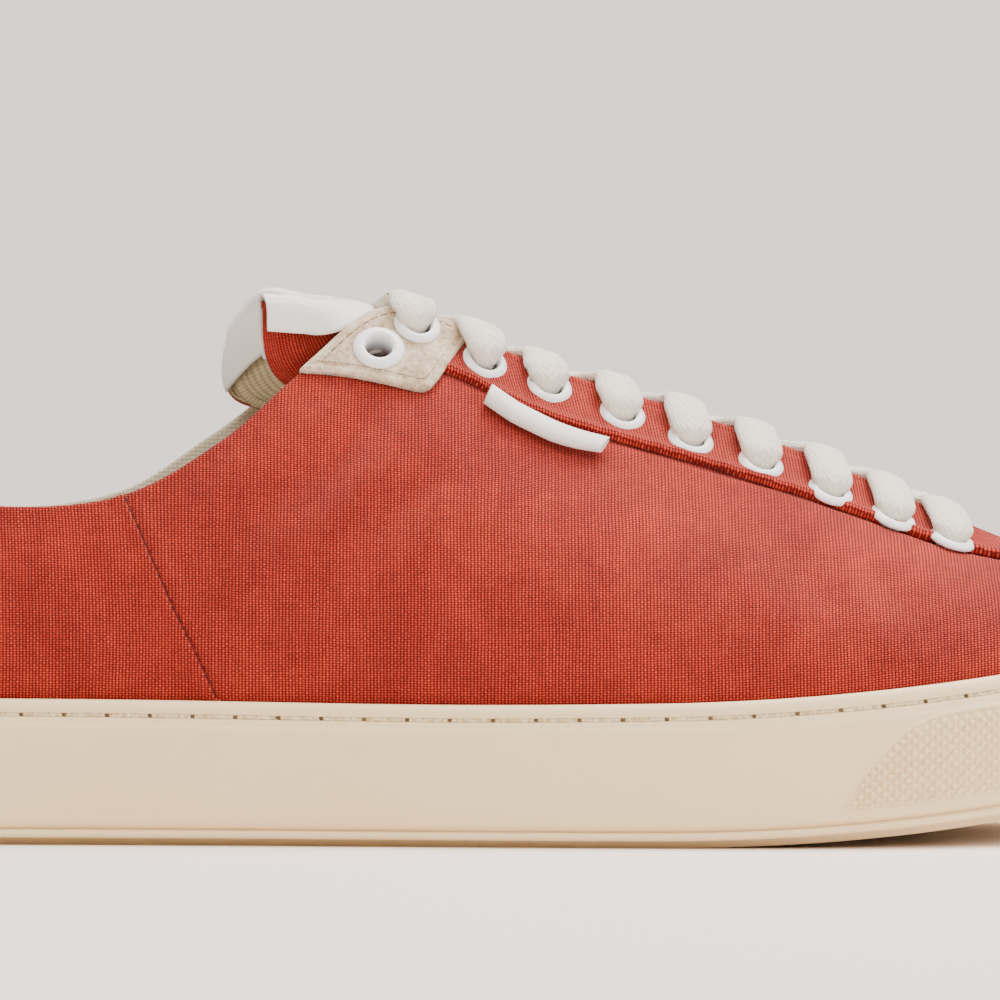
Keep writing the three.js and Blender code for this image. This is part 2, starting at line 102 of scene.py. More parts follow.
def outline(s, inset=0.0):  # the sole's outline, moved inwards
    at = rowCurve(s, [0, 1])
    along = unit(rowCurve(s + 0.01, [0, 1]) - rowCurve(s - 0.01, [0, 1]))
    return at + np.stack([-along[..., 1], along[..., 0]], -1) * np.asarray(inset)[..., None]


def bottomZ(x):
    spring = soleSize["springRise"] * (np.maximum(x - soleSize["springStart"], 0)
                                       / (soleSize["toeX"] - soleSize["springStart"]))**2
    bevel = soleSize["bevelRise"] * (np.minimum(x - soleSize["bevelStart"], 0)
                                     / (soleSize["heelX"] - soleSize["bevelStart"]))**2
    return spring + bevel


def rimZ(x):
    dip = soleSize["waistDip"] * np.exp(-((x - soleSize["waistX"]) / soleSize["waistSpan"])**2)
    return bottomZ(x) + soleSize["rim"] - dip


def floorZ(x):
    heel, fore = soleSize["floorHeel"], soleSize["floorFore"]
    return bottomZ(x) + heel + (fore - heel) * smooth(x, -80, 50)


def lastPoint(s, v):  # v: 0 at the rim of the cup, 1 at the edge of the opening, below 0 in the cup
    s, v = np.broadcast_arrays(np.asarray(s, float), np.asarray(v, float))
    foot = outline(s, upperSize["inset"])
    rim = rimZ(foot[..., 0])
    sunk = np.clip(-v, 0, 1)
    foot = np.concatenate([foot, (rim + (floorZ(foot[..., 0]) + 0.3 - rim) * sunk)[..., None]], -1)
    edge = rowCurve(s, [2, 3, 4])
    angles = np.radians(rowCurve(s, [5, 6]))
    inward = edge - foot
    inward[..., 2] = 0
    inward = unit(inward)
    chord = np.linalg.norm(edge - foot, axis=-1)[..., None]

    def slope(angle):
        way = inward * np.cos(angle)[..., None]
        way[..., 2] = np.sin(angle)
        return way
    low = foot + slope(angles[..., 0]) * chord * upperSize["riseHandle"]
    high = edge - slope(angles[..., 1]) * chord * upperSize["edgeHandle"]
    t = np.clip(v, 0, 1)[..., None]
    return foot * (1 - t)**3 + 3 * low * t * (1 - t)**2 + 3 * high * t**2 * (1 - t) + edge * t**3


def lastNormal(s, v, step=0.02):
    s, v = np.broadcast_arrays(np.asarray(s, float), np.asarray(v, float))
    across = lastPoint(s + step, v) - lastPoint(s - step, v)
    up = lastPoint(s, np.minimum(v + step, 1)) - lastPoint(s, np.maximum(v - step, -1))
    return unit(np.cross(across, up))


def along(s, r):  # v of the point a distance r below the edge, along the section
    v = np.linspace(1, 0, 61)
    s, r = np.broadcast_arrays(np.asarray(s, float), np.asarray(r, float))
    row = lastPoint(s[..., None], v)
    run = np.concatenate([np.zeros(s.shape + (1,)),
                          np.cumsum(np.linalg.norm(np.diff(row, axis=-2), axis=-1), -1)], -1)
    flatRun, flatR = run.reshape(-1, 61), r.reshape(-1)
    found = np.array([np.interp(a, b, v) for a, b in zip(flatR, flatRun)])
    return found.reshape(s.shape), run[..., -1]


def skin(s, r, out=0.0):  # point a distance r below the edge, standing out; above the edge if r < 0
    s, r, out = np.broadcast_arrays(np.asarray(s, float), np.asarray(r, float), np.asarray(out, float))
    v, _ = along(s, np.maximum(r, 0))
    over = unit(lastPoint(s, 1.0) - lastPoint(s, 0.98)) * np.maximum(-r, 0)[..., None]
    return lastPoint(s, v) + over + lastNormal(s, v) * out[..., None]


def onSide(x, z, side=-1):  # (station, v) where the last passes a point given in side view
    s = np.full(np.shape(x), 9.0 if side < 0 else 19.0)
    v = np.full(np.shape(x), 0.8)
    h = 0.01
    for _ in range(40):
        at = lastPoint(s, v)
        ds = (lastPoint(s + h, v) - at) / h
        dv = (lastPoint(s, np.minimum(v + h, 1)) - lastPoint(s, np.minimum(v + h, 1) - h)) / h
        det = ds[..., 0] * dv[..., 2] - ds[..., 2] * dv[..., 0]
        dx, dz = x - at[..., 0], z - at[..., 2]
        s = s + np.clip((dx * dv[..., 2] - dz * dv[..., 0]) / det, -0.8, 0.8)
        v = np.clip(v + (ds[..., 0] * dz - ds[..., 2] * dx) / det, 0.0, 1)
    return s, v


# ---- materials: sums on sockets are written as sums
class Flow:
    def __init__(self, tree, socket=None):
        self.tree = tree
        self.socket = socket

    def node(self, kind, settings=None, inputs=None, output=0):
        made = self.tree.nodes.new(kind)
        for name, value in (settings or {}).items():
            if name == "stops":
                for stop, (place, colour) in zip(made.color_ramp.elements, value):
                    stop.position, stop.color = place, colour
                for place, colour in value[2:]:
                    made.color_ramp.elements.new(place).color = colour
            else:
                setattr(made, name, value)
        for name, value in (inputs or {}).items():
            if isinstance(value, Flow):
                self.tree.links.new(value.socket, made.inputs[name])
            else:
                made.inputs[name].default_value = value
        return Flow(self.tree, made.outputs[output])

    def math(self, operation, *values, clamp=False):
        settings = {"operation": operation, "use_clamp": clamp}
        return self.node("ShaderNodeMath", settings, dict(enumerate(values)))

    def __add__(self, other): return self.math("ADD", self, other)
    def __radd__(self, other): return self.math("ADD", other, self)
    def __sub__(self, other): return self.math("SUBTRACT", self, other)
    def __rsub__(self, other): return self.math("SUBTRACT", other, self)
    def __mul__(self, other): return self.math("MULTIPLY", self, other)
    def __rmul__(self, other): return self.math("MULTIPLY", other, self)
    def __truediv__(self, other): return self.math("DIVIDE", self, other)

    def range(self, low, high, toLow=0.0, toHigh=1.0):
        return self.node("ShaderNodeMapRange", {"interpolation_type": "SMOOTHSTEP"},
                         {"Value": self, "From Min": low, "From Max": high,
                          "To Min": toLow, "To Max": toHigh})

    def mix(self, first, second):  # self is the share of the second colour
        return self.node("ShaderNodeMix", {"data_type": "RGBA"}, {0: self, 6: first, 7: second}, output=2)

    def noise(self, vector, scale, detail=2.0, roughness=0.5):
        return self.node("ShaderNodeTexNoise", {}, {"Vector": vector, "Scale": scale, "Detail": detail,
                                                    "Roughness": roughness})


def colour(r, g, b):  # from display values 0..255
    return tuple(((c / 255 + 0.055) / 1.055)**2.4 if c > 10 else c / 255 / 12.92 for c in (r, g, b)) + (1.0,)


def newMaterial(name):
    made = bpy.data.materials.new(name)
    made.use_nodes = True
    shader = made.node_tree.nodes["Principled BSDF"]
    return made, Flow(made.node_tree), shader


def finish(flow, shader, base, roughness=None, height=None, depth=0.1, **constants):
    flow.tree.links.new(base.socket, shader.inputs["Base Color"])
    if isinstance(roughness, Flow):
        flow.tree.links.new(roughness.socket, shader.inputs["Roughness"])
    elif roughness is not None:
        shader.inputs["Roughness"].default_value = roughness
    if height is not None:  # height runs 0..1 over depth millimetres
        bump = flow.node("ShaderNodeBump", {}, {"Height": height, "Distance": depth * mm, "Strength": 1.0})
        flow.tree.links.new(bump.socket, shader.inputs["Normal"])
    for name, value in constants.items():
        shader.inputs[name.replace("_", " ")].default_value = value


def clothPlace(flow, uvName="cloth"):
    place = flow.node("ShaderNodeUVMap", {"uv_map": uvName})
    u = flow.node("ShaderNodeSeparateXYZ", {}, {0: place}, output=0)
    w = flow.node("ShaderNodeSeparateXYZ", {}, {0: place}, output=1)
    return place, u, w


def weave(flow, u, w, pitch, weftPitch):  # plain weave: height 0..1, and each thread's own number
    a, b = u / pitch, w / weftPitch
    i, j = flow.math("FLOOR", a), flow.math("FLOOR", b)
    roundWarp = flow.math("SINE", (a - i) * math.pi)
    roundWeft = flow.math("SINE", (b - j) * math.pi)
    overWarp = flow.math("SINE", (b + i) * math.pi)
    overWeft = flow.math("SINE", (a + j) * math.pi) * -1
    warp = roundWarp * 0.62 + overWarp * 0.38 + 0.06  # the warp stands a little proud
    weft = roundWeft * 0.5 + overWeft * 0.42
    height = flow.math("MAXIMUM", warp, weft)
    isWarp = flow.math("GREATER_THAN", warp, weft)
    number = isWarp * (i * 1.37) + (1 - isWarp) * (j * 2.11 + 500.0)
    lengthwise = isWarp * w + (1 - isWarp) * u
    return height, number, lengthwise


clothLook = dict(warp=0.64, weft=0.46, dark=(78, 5, 2), mid=(150, 18, 8), light=(216, 72, 42))


def canvasMaterial(name="canvasRed", look=clothLook):
    made, flow, shader = newMaterial(name)
    place, u, w = clothPlace(flow)
    wander = flow.noise(place, 0.05, 2) - 0.5
    u2 = u + wander * 0.8  # the threads are never quite straight
    w2 = w + (flow.noise(place, 0.07, 2) - 0.5) * 0.8
    height, number, lengthwise = weave(flow, u2, w2, look["warp"], look["weft"])
    threadPlace = flow.node("ShaderNodeCombineXYZ", {}, {0: number, 1: lengthwise * 0.16})
    perThread = flow.noise(threadPlace, 1.0, 2)  # each thread has its own tone, slowly changing along it
    slub = flow.noise(flow.node("ShaderNodeCombineXYZ", {}, {0: number, 1: lengthwise * 0.9}), 1.0, 1)
    mottling = flow.noise(place, 0.035, 3, 0.6)
    blotch = flow.noise(place, 0.16, 3, 0.6)
    # The weave's height lightens the thread tops and darkens the gaps between threads: painted highlight and
    # painted shade. The per-thread tone, slubs, mottling and blotches are the cloth's own colour.
    tone = height.range(0.25, 1.0) * 0.95 + perThread * 0.5 + slub * 0.3 - 0.52
    tone = tone + (mottling - 0.5) * 0.5 + (blotch - 0.5) * 0.3
    stops = [(0.0, colour(*look["dark"])), (1.0, colour(*look["light"])), (0.45, colour(*look["mid"]))]
    base = tone.node("ShaderNodeValToRGB", {"stops": stops}, {0: tone})
    fuzz = flow.noise(place, 2.6, 2)
    finish(flow, shader, base, roughness=0.92, height=height * 0.85 + fuzz * 0.15, depth=0.3,
           Sheen_Weight=0.1, Sheen_Roughness=0.6, Specular_IOR_Level=0.15)
    return made


def liningMaterial():
    made, flow, shader = newMaterial("liningTwill")
    place, u, w = clothPlace(flow)
    height, _, _ = weave(flow, u, w, 0.9, 0.9)
    # The weave's height in the colour makes thread tops lighter and gaps darker: painted highlight and painted
    # shade. The noise is the cloth's own tone.
    tone = height * 0.5 + flow.noise(place, 0.1, 3) * 0.5
    base = tone.mix(colour(158, 146, 120), colour(206, 196, 172))
    finish(flow, shader, base, roughness=0.95, height=height, depth=0.12, Specular_IOR_Level=0.2)
    return made


def rubberMaterial():
    made, flow, shader = newMaterial("creamRubber")
    place = flow.node("ShaderNodeTexCoord", output=3)
    cloud = flow.noise(place, 22, 3, 0.6)
    speck = flow.noise(place, 900, 2)
    scuff = flow.noise(place, 160, 4, 0.7).range(0.56, 0.8)
    base = (cloud * 0.7 + speck * 0.3).mix(colour(242, 212, 162), colour(251, 228, 184))
    base = (scuff * 0.3).mix(base, colour(220, 196, 156))
    finish(flow, shader, base, roughness=0.42 + cloud * 0.16 + scuff * 0.1, height=speck, depth=0.02,
           Specular_IOR_Level=0.45)
    return made


def suedeMaterial():
    made, flow, shader = newMaterial("beigeSuede")
    place = flow.node("ShaderNodeTexCoord", output=3)
    nap = flow.noise(place, 900, 4, 0.75)
    cloud = flow.noise(place, 190, 3, 0.65)
    tone = nap.range(0.3, 0.7) * 0.55 + cloud.range(0.35, 0.65) * 0.45
    base = tone.mix(colour(158, 130, 98), colour(232, 213, 186))
    finish(flow, shader, base, roughness=0.97, height=nap * 0.6 + cloud * 0.4, depth=0.7,
           Sheen_Weight=0.3, Specular_IOR_Level=0.15)
    return made


def enamelMaterial():
    made, flow, shader = newMaterial("whiteEnamel")
    place = flow.node("ShaderNodeTexCoord", output=3)
    cloud = flow.noise(place, 180, 2)
    wear = flow.noise(place, 700, 3, 0.7).range(0.66, 0.8)
    base = cloud.mix(colour(240, 241, 243), colour(250, 250, 251))
    base = (wear * 0.3).mix(base, colour(206, 200, 194))
    finish(flow, shader, base, roughness=0.26 + cloud * 0.12, height=cloud, depth=0.02)
    return made


def cottonMaterial():
    made, flow, shader = newMaterial("laceCotton")
    place, u, w = clothPlace(flow)
    half = laceSize["wide"] + laceSize["thick"]
    fold = flow.math("ABSOLUTE", flow.math("FRACT", w / half) - 0.5) * half
    strand = flow.math("SINE", (u + fold * 1.1) * (2 * math.pi / 1.25)) * 0.5 + 0.5
    cords = flow.math("SINE", fold * (2 * math.pi / 1.3)) * 0.5 + 0.5
    fluff = flow.noise(place, 1.9, 4, 0.7)
    along = flow.node("ShaderNodeCombineXYZ", {}, {0: u * 0.8 + fold * 0.8, 1: fold * 4.0})
    fibre = flow.noise(along, 1.6, 3, 0.7)
    height = strand * 0.2 + cords * 0.12 + fluff * 0.4 + fibre * 0.28
    # The colour follows the height, lighter on top and darker low between strands and cords: painted highlight
    # and painted shade. The random fluff tone is the cotton's own.
    base = (height * 0.75 + fluff * 0.25).mix(colour(222, 204, 178), colour(255, 250, 240))
    finish(flow, shader, base, roughness=0.97, height=height, depth=0.55,
           Sheen_Weight=0.35, Sheen_Roughness=0.7, Specular_IOR_Level=0.15)
    return made


def ribbedMaterial():
    made, flow, shader = newMaterial("ribbedLining")
    place, u, w = clothPlace(flow)
    rib = flow.math("ABSOLUTE", flow.math("SINE", u * math.pi))
    row = flow.math("ABSOLUTE", flow.math("SINE", w * (math.pi / 0.8)))
    height = rib * 0.75 + row * 0.25
    # The colour follows the ribs' height, lighter rib tops and darker hollows between them: painted highlight and
    # painted shade. The noise is the cloth's own tone.
    tone = height * 0.6 + flow.noise(place, 0.12, 3) * 0.4
    base = tone.mix(colour(150, 132, 98), colour(204, 188, 154))
    finish(flow, shader, base, roughness=0.95, height=height, depth=0.3, Specular_IOR_Level=0.15)
    return made


def satinMaterial():
    made, flow, shader = newMaterial("satinRibbon")
    place, u, w = clothPlace(flow)
    height, _, _ = weave(flow, u, w, 0.28, 0.36)
    cloud = flow.noise(place, 0.18, 3)
    # The weave's height lightens thread tops and darkens gaps: painted highlight and painted shade. The cloud is
    # the ribbon's own tone.
    base = (height * 0.35 + cloud * 0.65).mix(colour(226, 220, 212), colour(248, 245, 240))
    finish(flow, shader, base, roughness=0.48 + cloud * 0.15, height=height, depth=0.05,
           Specular_IOR_Level=0.4)
    return made


def threadMaterial(name, dark, light):
    made, flow, shader = newMaterial(name)
    place = flow.node("ShaderNodeTexCoord", output=3)
    twist = flow.noise(place, 1400, 2)
    base = twist.range(0.35, 0.65).mix(colour(*dark), colour(*light))
    finish(flow, shader, base, roughness=0.8, height=twist, depth=0.05, Specular_IOR_Level=0.3)
    return made


# ---- meshes
def pieceFrom(bm, name, materials, replaced=(), smoothShade=True):
    mesh = bpy.data.meshes.new(name)
    bm.to_mesh(mesh)
    bm.free()
    for material in materials:
        mesh.materials.append(material)
    if smoothShade:
        mesh.shade_smooth()
    made = bpy.data.objects.new(name, mesh)
    bpy.context.collection.objects.link(made)
    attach(made, "root")
    if replaced:
        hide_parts(*replaced)
    return made


def gridPiece(columns, rows, shape, clothMap=None, wrap=False, flip=False):
    # a grid of columns by rows, moved to shape(a, b) in millimetres, a and b running 0..1
    bm = bmesh.new()
    bmesh.ops.create_grid(bm, x_segments=columns, y_segments=rows, size=0.5)
    bm.verts.ensure_lookup_table()
    ab = np.array([v.co[:2] for v in bm.verts]) + 0.5
    points = shape(ab[:, 0], ab[:, 1])
    if clothMap is not None:
        layer = bm.loops.layers.uv.new("cloth")
        places = clothMap(ab[:, 0], ab[:, 1])
        for face in bm.faces:
            for loop in face.loops:
                loop[layer].uv = places[loop.vert.index]
    for vert, point in zip(bm.verts, points):
        vert.co = Vector(point) * mm
    if wrap:
        bmesh.ops.remove_doubles(bm, verts=bm.verts, dist=1e-5)
    if flip:
        bmesh.ops.reverse_faces(bm, faces=bm.faces)
    return bm


def runAlong(points):  # distance from the first point of a path to each of them
    return np.concatenate([[0], np.cumsum(np.linalg.norm(np.diff(points, axis=0), axis=-1))])


# ---- upper
sectionGrid = dict(columns=280, rows=60)


def sectionRun(s, v):  # distance from the edge down to v, and the whole section's length
    columns, rows = sectionGrid["columns"], sectionGrid["rows"]
    points = lastPoint(np.linspace(0, stations, columns + 1)[:, None], np.linspace(1, 0, rows + 1))
    gaps = np.linalg.norm(np.diff(points, axis=1), axis=-1)
    run = np.concatenate([np.zeros((columns + 1, 1)), np.cumsum(gaps, 1)], 1)
    col = np.clip(s / stations, 0, 1) * columns
    i = np.minimum(col.astype(int), columns - 1)
    f = col - i
    k = np.clip(1 - v, 0, 1) * rows
    j = np.minimum(k.astype(int), rows - 1)
    g = k - j
    near = run[i, j] * (1 - g) + run[i, j + 1] * g
    far = run[i + 1, j] * (1 - g) + run[i + 1, j + 1] * g
    return near * (1 - f) + far * f + np.clip(-v, 0, 1) * 18, run[i, 60] * (1 - f) + run[i + 1, 60] * f


def clothPlaces(s, v):  # flat pattern of the upper, in millimetres: straight threads on the sides
    s = np.asarray(s, float)
    r, whole = sectionRun(s, v)
    at = lastPoint(s, v)
    lateral = s < 14
    side = np.where(lateral, -1.0, 1.0)
    fromHeel = np.where(lateral, s, stations - s)
    toeWhole = np.where(lateral, sectionRun(np.array([12.0]), np.array([0.0]))[1],
                        sectionRun(np.array([16.0]), np.array([0.0]))[1])
    quarter = np.stack([at[:, 0], side * (r - whole + toeWhole + 2)], -1)
    edge = rowCurve(s, [2, 3])
    toe = edge + unit(outline(s, upperSize["inset"]) - edge) * r[..., None]
    fine = np.linspace(0, 5, 101)
    run = runAlong(outline(fine))
    heel = quarter.copy()
    pivotAt = np.where(lateral, 4.0, 24.0)
    pivotX = rowCurve(pivotAt, [0])[:, 0]
    heel[:, 0] = pivotX - (np.interp(4.0, fine, run) - np.interp(fromHeel, fine, run))
    heelShare = (1 - smooth(fromHeel, 3.2, 4.8))[:, None]
    toeShare = smooth(fromHeel, 11.2, 13.0)[:, None]
    return heel * heelShare + toe * toeShare + quarter * (1 - heelShare - toeShare)


creases = [  # soft folds of the quarter: from and to in side view, width, depth
    dict(x0=-12, z0=86, x1=-26, z1=62, wide=7, deep=1.3),
    dict(x0=-20, z0=80, x1=-40, z1=56, wide=9, deep=1.1),
    dict(x0=2, z0=74, x1=-14, z1=58, wide=8, deep=0.8),
    dict(x0=60, z0=60, x1=78, z1=44, wide=9, deep=0.9),
    dict(x0=80, z0=54, x1=92, z1=42, wide=7, deep=0.9),
    dict(x0=-70, z0=58, x1=-60, z1=38, wide=10, deep=0.8),
]
heelSeam = [(-60.6, 66.5), (-56.9, 58.2), (-53.5, 50.7), (-50.7, 44.4), (-47.2, 37.5), (-42.7, 28.0),
            (-41.0, 24.4)]


def creaseDepth(points):
    depth = np.zeros(len(points))
    for fold in creases:
        a, b = np.array([fold["x0"], fold["z0"]]), np.array([fold["x1"], fold["z1"]])
        p = points[:, [0, 2]] - a
        t = np.clip(p @ (b - a) / ((b - a) @ (b - a)), 0, 1)
        off = (p - t[:, None] * (b - a)) @ (np.array([-(b - a)[1], (b - a)[0]]) / np.linalg.norm(b - a))
        ends = np.clip(1 - np.linalg.norm(p - t[:, None] * (b - a), axis=-1) / (fold["wide"] * 1.6), 0, 1)
        taper = np.sin(np.pi * np.clip(t * 0.86 + 0.07, 0, 1))
        depth += fold["deep"] * taper * ends * -np.cos(off / fold["wide"] * 2.2)
    seam = np.array(heelSeam)  # the heel panel's seam
    seamX = np.interp(points[:, 2], seam[::-1, 1], seam[::-1, 0])
    off = points[:, 0] - seamX
    depth += -0.55 * np.exp(-(off / 0.6)**2) + 0.3 * np.exp(-((off - 1.7) / 1.2)**2)
    return depth


upperGrid = dict(columns=560, rows=82, low=-0.25)


def upperShape(a, b):
    s = a * stations
    v = upperGrid["low"] + b * (1 - upperGrid["low"])
    points = lastPoint(s, v)
    lift = creaseDepth(points) * smooth(v, 0.0, 0.12) * (1 - smooth(v, 0.9, 1.0))
    r, _ = sectionRun(s, v)
    faced = smooth(s, 6.9, 7.1) * (1 - smooth(s, 20.9, 21.1))
    lift = lift - faced * 0.7 * np.exp(-((r - 14.2) / 0.9)**2)  # the cloth dips under the facing's edge
    return points + lastNormal(s, v) * lift[:, None]


def eyeletAt(side, k):
    s, v = onSide(np.array(eyeletPlaces[k][0]), np.array(eyeletPlaces[k][1]), side)
    return float(s), float(v), lastPoint(s, v), lastNormal(s, v)


def punchHoles(bm, count, radius=3.3):  # eyelet holes through a grid piece, the ring hides their edge
    middles = np.array([face.calc_center_median() for face in bm.faces]) / mm
    gone = np.zeros(len(middles), bool)
    for side in (-1, 1):
        for k in range(count):
            _, _, at, normal = eyeletAt(side, k)
            off = middles - at
            axial = off @ normal
            radial = np.linalg.norm(off - axial[:, None] * normal, axis=-1)
            gone |= (radial < radius) & (np.abs(axial) < 5)
    bm.faces.ensure_lookup_table()
    bmesh.ops.delete(bm, geom=[bm.faces[i] for i in np.nonzero(gone)[0]], context="FACES")


def upperCloth(a, b):
    v = upperGrid["low"] + b * (1 - upperGrid["low"])
    return clothPlaces(a * stations, v)


def makeUpper(canvas, lining):
    bm = gridPiece(upperGrid["columns"], upperGrid["rows"], upperShape, upperCloth, wrap=True)
    punchHoles(bm, len(eyeletPlaces))
    upper = pieceFrom(bm, "upperCanvas", [canvas, lining], ["upper"])
    wall = upper.modifiers.new("wall", "SOLIDIFY")
    wall.thickness = upperSize["wall"] * mm
    wall.offset = -1
    wall.use_even_offset = True
    wall.material_offset = 1
    print("upper")


# ---- heel panel seam: the quarter laps it, with a painted shade line where it ends
heelLap = dict(line=0.3, way=(0.91, 0.42), across=[  # towards the heel, height
    (0, -0.5), (0, 0.1), (0.08, 0.38), (0.4, 0.5), (0.9, 0.46), (1.6, 0.3), (2.5, 0.12), (3.4, -0.2)])


def makeHeelSeam(cloth, thread):
    seam = np.array(heelSeam)
    seam[0] += [-0.2, 0.3]
    path = np.array(heelLap["across"])
    lines = bmesh.new()
    for side, name in ((-1, "lateral"), (1, "medial")):
        def places(a, d):  # d millimetres towards the heel
            x, z = (np.interp(a, np.linspace(0, 1, len(seam)), seam[:, c]) for c in range(2))
            return onSide(x - d * heelLap["way"][0], z - d * heelLap["way"][1], side)

        def shape(a, b):
            rows = pathAt(path, b)
            s, v = places(a, rows[:, 0])
            return lastPoint(s, v) + lastNormal(s, v) * rows[:, 1][:, None]

        def place(a, b):
            s, v = places(a, pathAt(path, b)[:, 0])
            return clothPlaces(s, v)
        bm = gridPiece(120, 14, shape, place, flip=side < 0)
        lap = pieceFrom(bm, "heelLap_" + name, [cloth])
        wall = lap.modifiers.new("cloth", "SOLIDIFY")
        wall.thickness = 0.3 * mm
        wall.offset = -1
        # A dark line of overlapping stitches along the lap's edge: painted shade under the edge, not thread.
        t = np.linspace(0.01, 0.99, 300)
        s, v = places(t, np.full(300, -0.12))
        stitchRow(lines, lastPoint(s, v) + lastNormal(s, v) * 0.05, lastNormal(s, v), length=2.6, step=2.5,
                  radius=heelLap["line"])
    pieceFrom(lines, "heelSeamShadeLine", [thread])
    print("heel seam")


# ---- facing: a strip folded over the throat's edge, its lower edge rolled
facingSize = dict(first=6.9, last=21.1, columns=600)
facingPath = np.array([  # distance below the edge, height over the last
    (2.5, -2.15), (0.4, -2.2), (-0.35, -2.0), (-0.55, -1.3), (-0.6, -0.5), (-0.45, 0.2), (-0.1, 0.55),
    (0.5, 0.68), (1.2, 0.62), (1.7, 0.5), (2.4, 0.62), (4, 0.62), (6, 0.6), (8, 0.6), (10, 0.6),
    (11.4, 0.62), (12.2, 0.8), (12.8, 1.0), (13.2, 1.02), (13.6, 0.85), (13.85, 0.5), (13.9, 0.1), (13.8, -0.3)])


def pathAt(path, b):
    k = b * (len(path) - 1)
    return np.stack([np.interp(k, range(len(path)), path[:, c]) for c in range(path.shape[1])], -1)


def makeFacing(cloth, thread):
    size = facingSize

    def shape(a, b):
        rows = pathAt(facingPath, b)
        s = size["first"] + a * (size["last"] - size["first"])
        ripple = 0.12 * np.sin(s * 31) * np.sin(s * 7.3)
        return skin(s, rows[:, 0], rows[:, 1] + ripple * smooth(rows[:, 0], 3, 11))

    def place(a, b):
        s = size["first"] + a * (size["last"] - size["first"])
        fine = np.linspace(size["first"], size["last"], 400)
        run = runAlong(rowCurve(fine, [2, 3, 4]))
        rows = pathAt(facingPath, b)
        return np.stack([np.interp(s, fine, run), rows[:, 0] + np.where(b < 0.25, -rows[:, 1], 0)], -1)
    bm = gridPiece(size["columns"], len(facingPath) * 2, shape, place)
    punchHoles(bm, len(eyeletPlaces))
    facing = pieceFrom(bm, "facing", [cloth])
    wall = facing.modifiers.new("cloth", "SOLIDIFY")
    wall.thickness = 0.35 * mm
    wall.offset = -1
    s = np.linspace(size["first"] + 0.1, size["last"] - 0.1, 900)
    rows = [(skin(s, 1.7, 0.55), lastNormal(s, 1.0)), (skin(s, 12.3, 0.82), lastNormal(s, 0.8))]
    bm = bmesh.new()
    for points, normals in rows:
        stitchRow(bm, points, normals, length=1.9, step=2.6, radius=0.17, lift=0.03)
    pieceFrom(bm, "facingStitches", [thread])
    print("facing")


def stitchRow(bm, points, normals, length, step, radius, lift=0.0, flat=0.7, jitter=0.06):
    # stitches of that length, one each step, along a path of points in millimetres
    run = runAlong(points)
    count = int((run[-1] - length) / step)
    for k in range(count + 1):
        start = k * step + random.uniform(-jitter, jitter) * step
        ends = [np.array([np.interp(start + d, run, points[:, c]) for c in range(3)]) for d in (0, length)]
        up = Vector([np.interp(start + length / 2, run, normals[:, c]) for c in range(3)]).normalized()
        middle = Vector((ends[0] + ends[1]) / 2) + up * lift
        way = Vector(ends[1] - ends[0]).normalized()
        side = up.cross(way).normalized()
        up = way.cross(side)
        made = bmesh.ops.create_uvsphere(bm, u_segments=8, v_segments=6, radius=1.0)["verts"]
        for vert in made:
            x, y, z = vert.co
            reach = length / 2 - radius
            vert.co = (middle + way * (z * radius * 1.4 + math.copysign(reach, z) * min(1, abs(z) * 2.2))
                       + side * x * radius + up * y * radius * flat) * mm


# ---- eyelets
eyeletPlaces = [(-12.3, 93.9), (-5.2, 98.4), (8.0, 91.9), (20.6, 87.1), (34.8, 81.7), (48.0, 76.7),
                (61.6, 72.1), (75.0, 66.6), (87.1, 61.6), (98.5, 57.2)]
eyeletSize = dict(hole=2.7, flange=4.65, lockFlange=5.0, high=1.05, deep=2.6, sides=40)


def eyeletSeat(k):  # height of what the eyelet lies on
    return 1.62 if k < 2 else 0.62


def makeEyelets(enamel):
    bm = bmesh.new()
    size = eyeletSize
    for side in (-1, 1):
        for k in range(len(eyeletPlaces)):
            _, _, at, normal = eyeletAt(side, k)
            rim = size["lockFlange"] if k == 0 else size["flange"]
            seat = eyeletSeat(k) + 0.03
            hole, high = size["hole"], size["high"]
            profile = [  # radius and height
                (hole, -size["deep"]), (hole, seat + 0.35), (hole + 0.12, seat + high * 0.72),
                (hole + 0.42, seat + high * 0.97), (hole + 0.85, seat + high),
                (rim - 0.75, seat + high * 0.82), (rim - 0.25, seat + high * 0.5), (rim, seat + high * 0.12),
                (rim - 0.1, seat - 0.2), (hole + 0.55, seat - 0.25), (hole + 0.45, -size["deep"])]
            verts = [bm.verts.new((r, 0, z)) for r, z in profile]
            edges = [bm.edges.new((verts[i], verts[(i + 1) % len(verts)])) for i in range(len(verts))]
            spun = bmesh.ops.spin(bm, geom=verts + edges, cent=(0, 0, 0), axis=(0, 0, 1), angle=2 * math.pi,
                                  steps=size["sides"], use_merge=True)
            ring = set(verts)
            for item in spun["geom_last"]:
                ring.update([item] if isinstance(item, bmesh.types.BMVert) else item.verts)
            stack = list(ring)
            while stack:
                vert = stack.pop()
                for edge in vert.link_edges:
                    other = edge.other_vert(vert)
                    if other not in ring:
                        ring.add(other)
                        stack.append(other)
            turn = Vector((0, 0, 1)).rotation_difference(Vector(normal))
            for vert in ring:
                vert.co = (turn @ vert.co + Vector(at)) * mm
    bmesh.ops.recalc_face_normals(bm, faces=bm.faces)
    names = ["eyelet_%s_%d" % (tag, k + 1) for tag in ("lateral", "medial") for k in range(len(eyeletPlaces))]
    pieceFrom(bm, "eyelets", [enamel], names)
    print("eyelets")


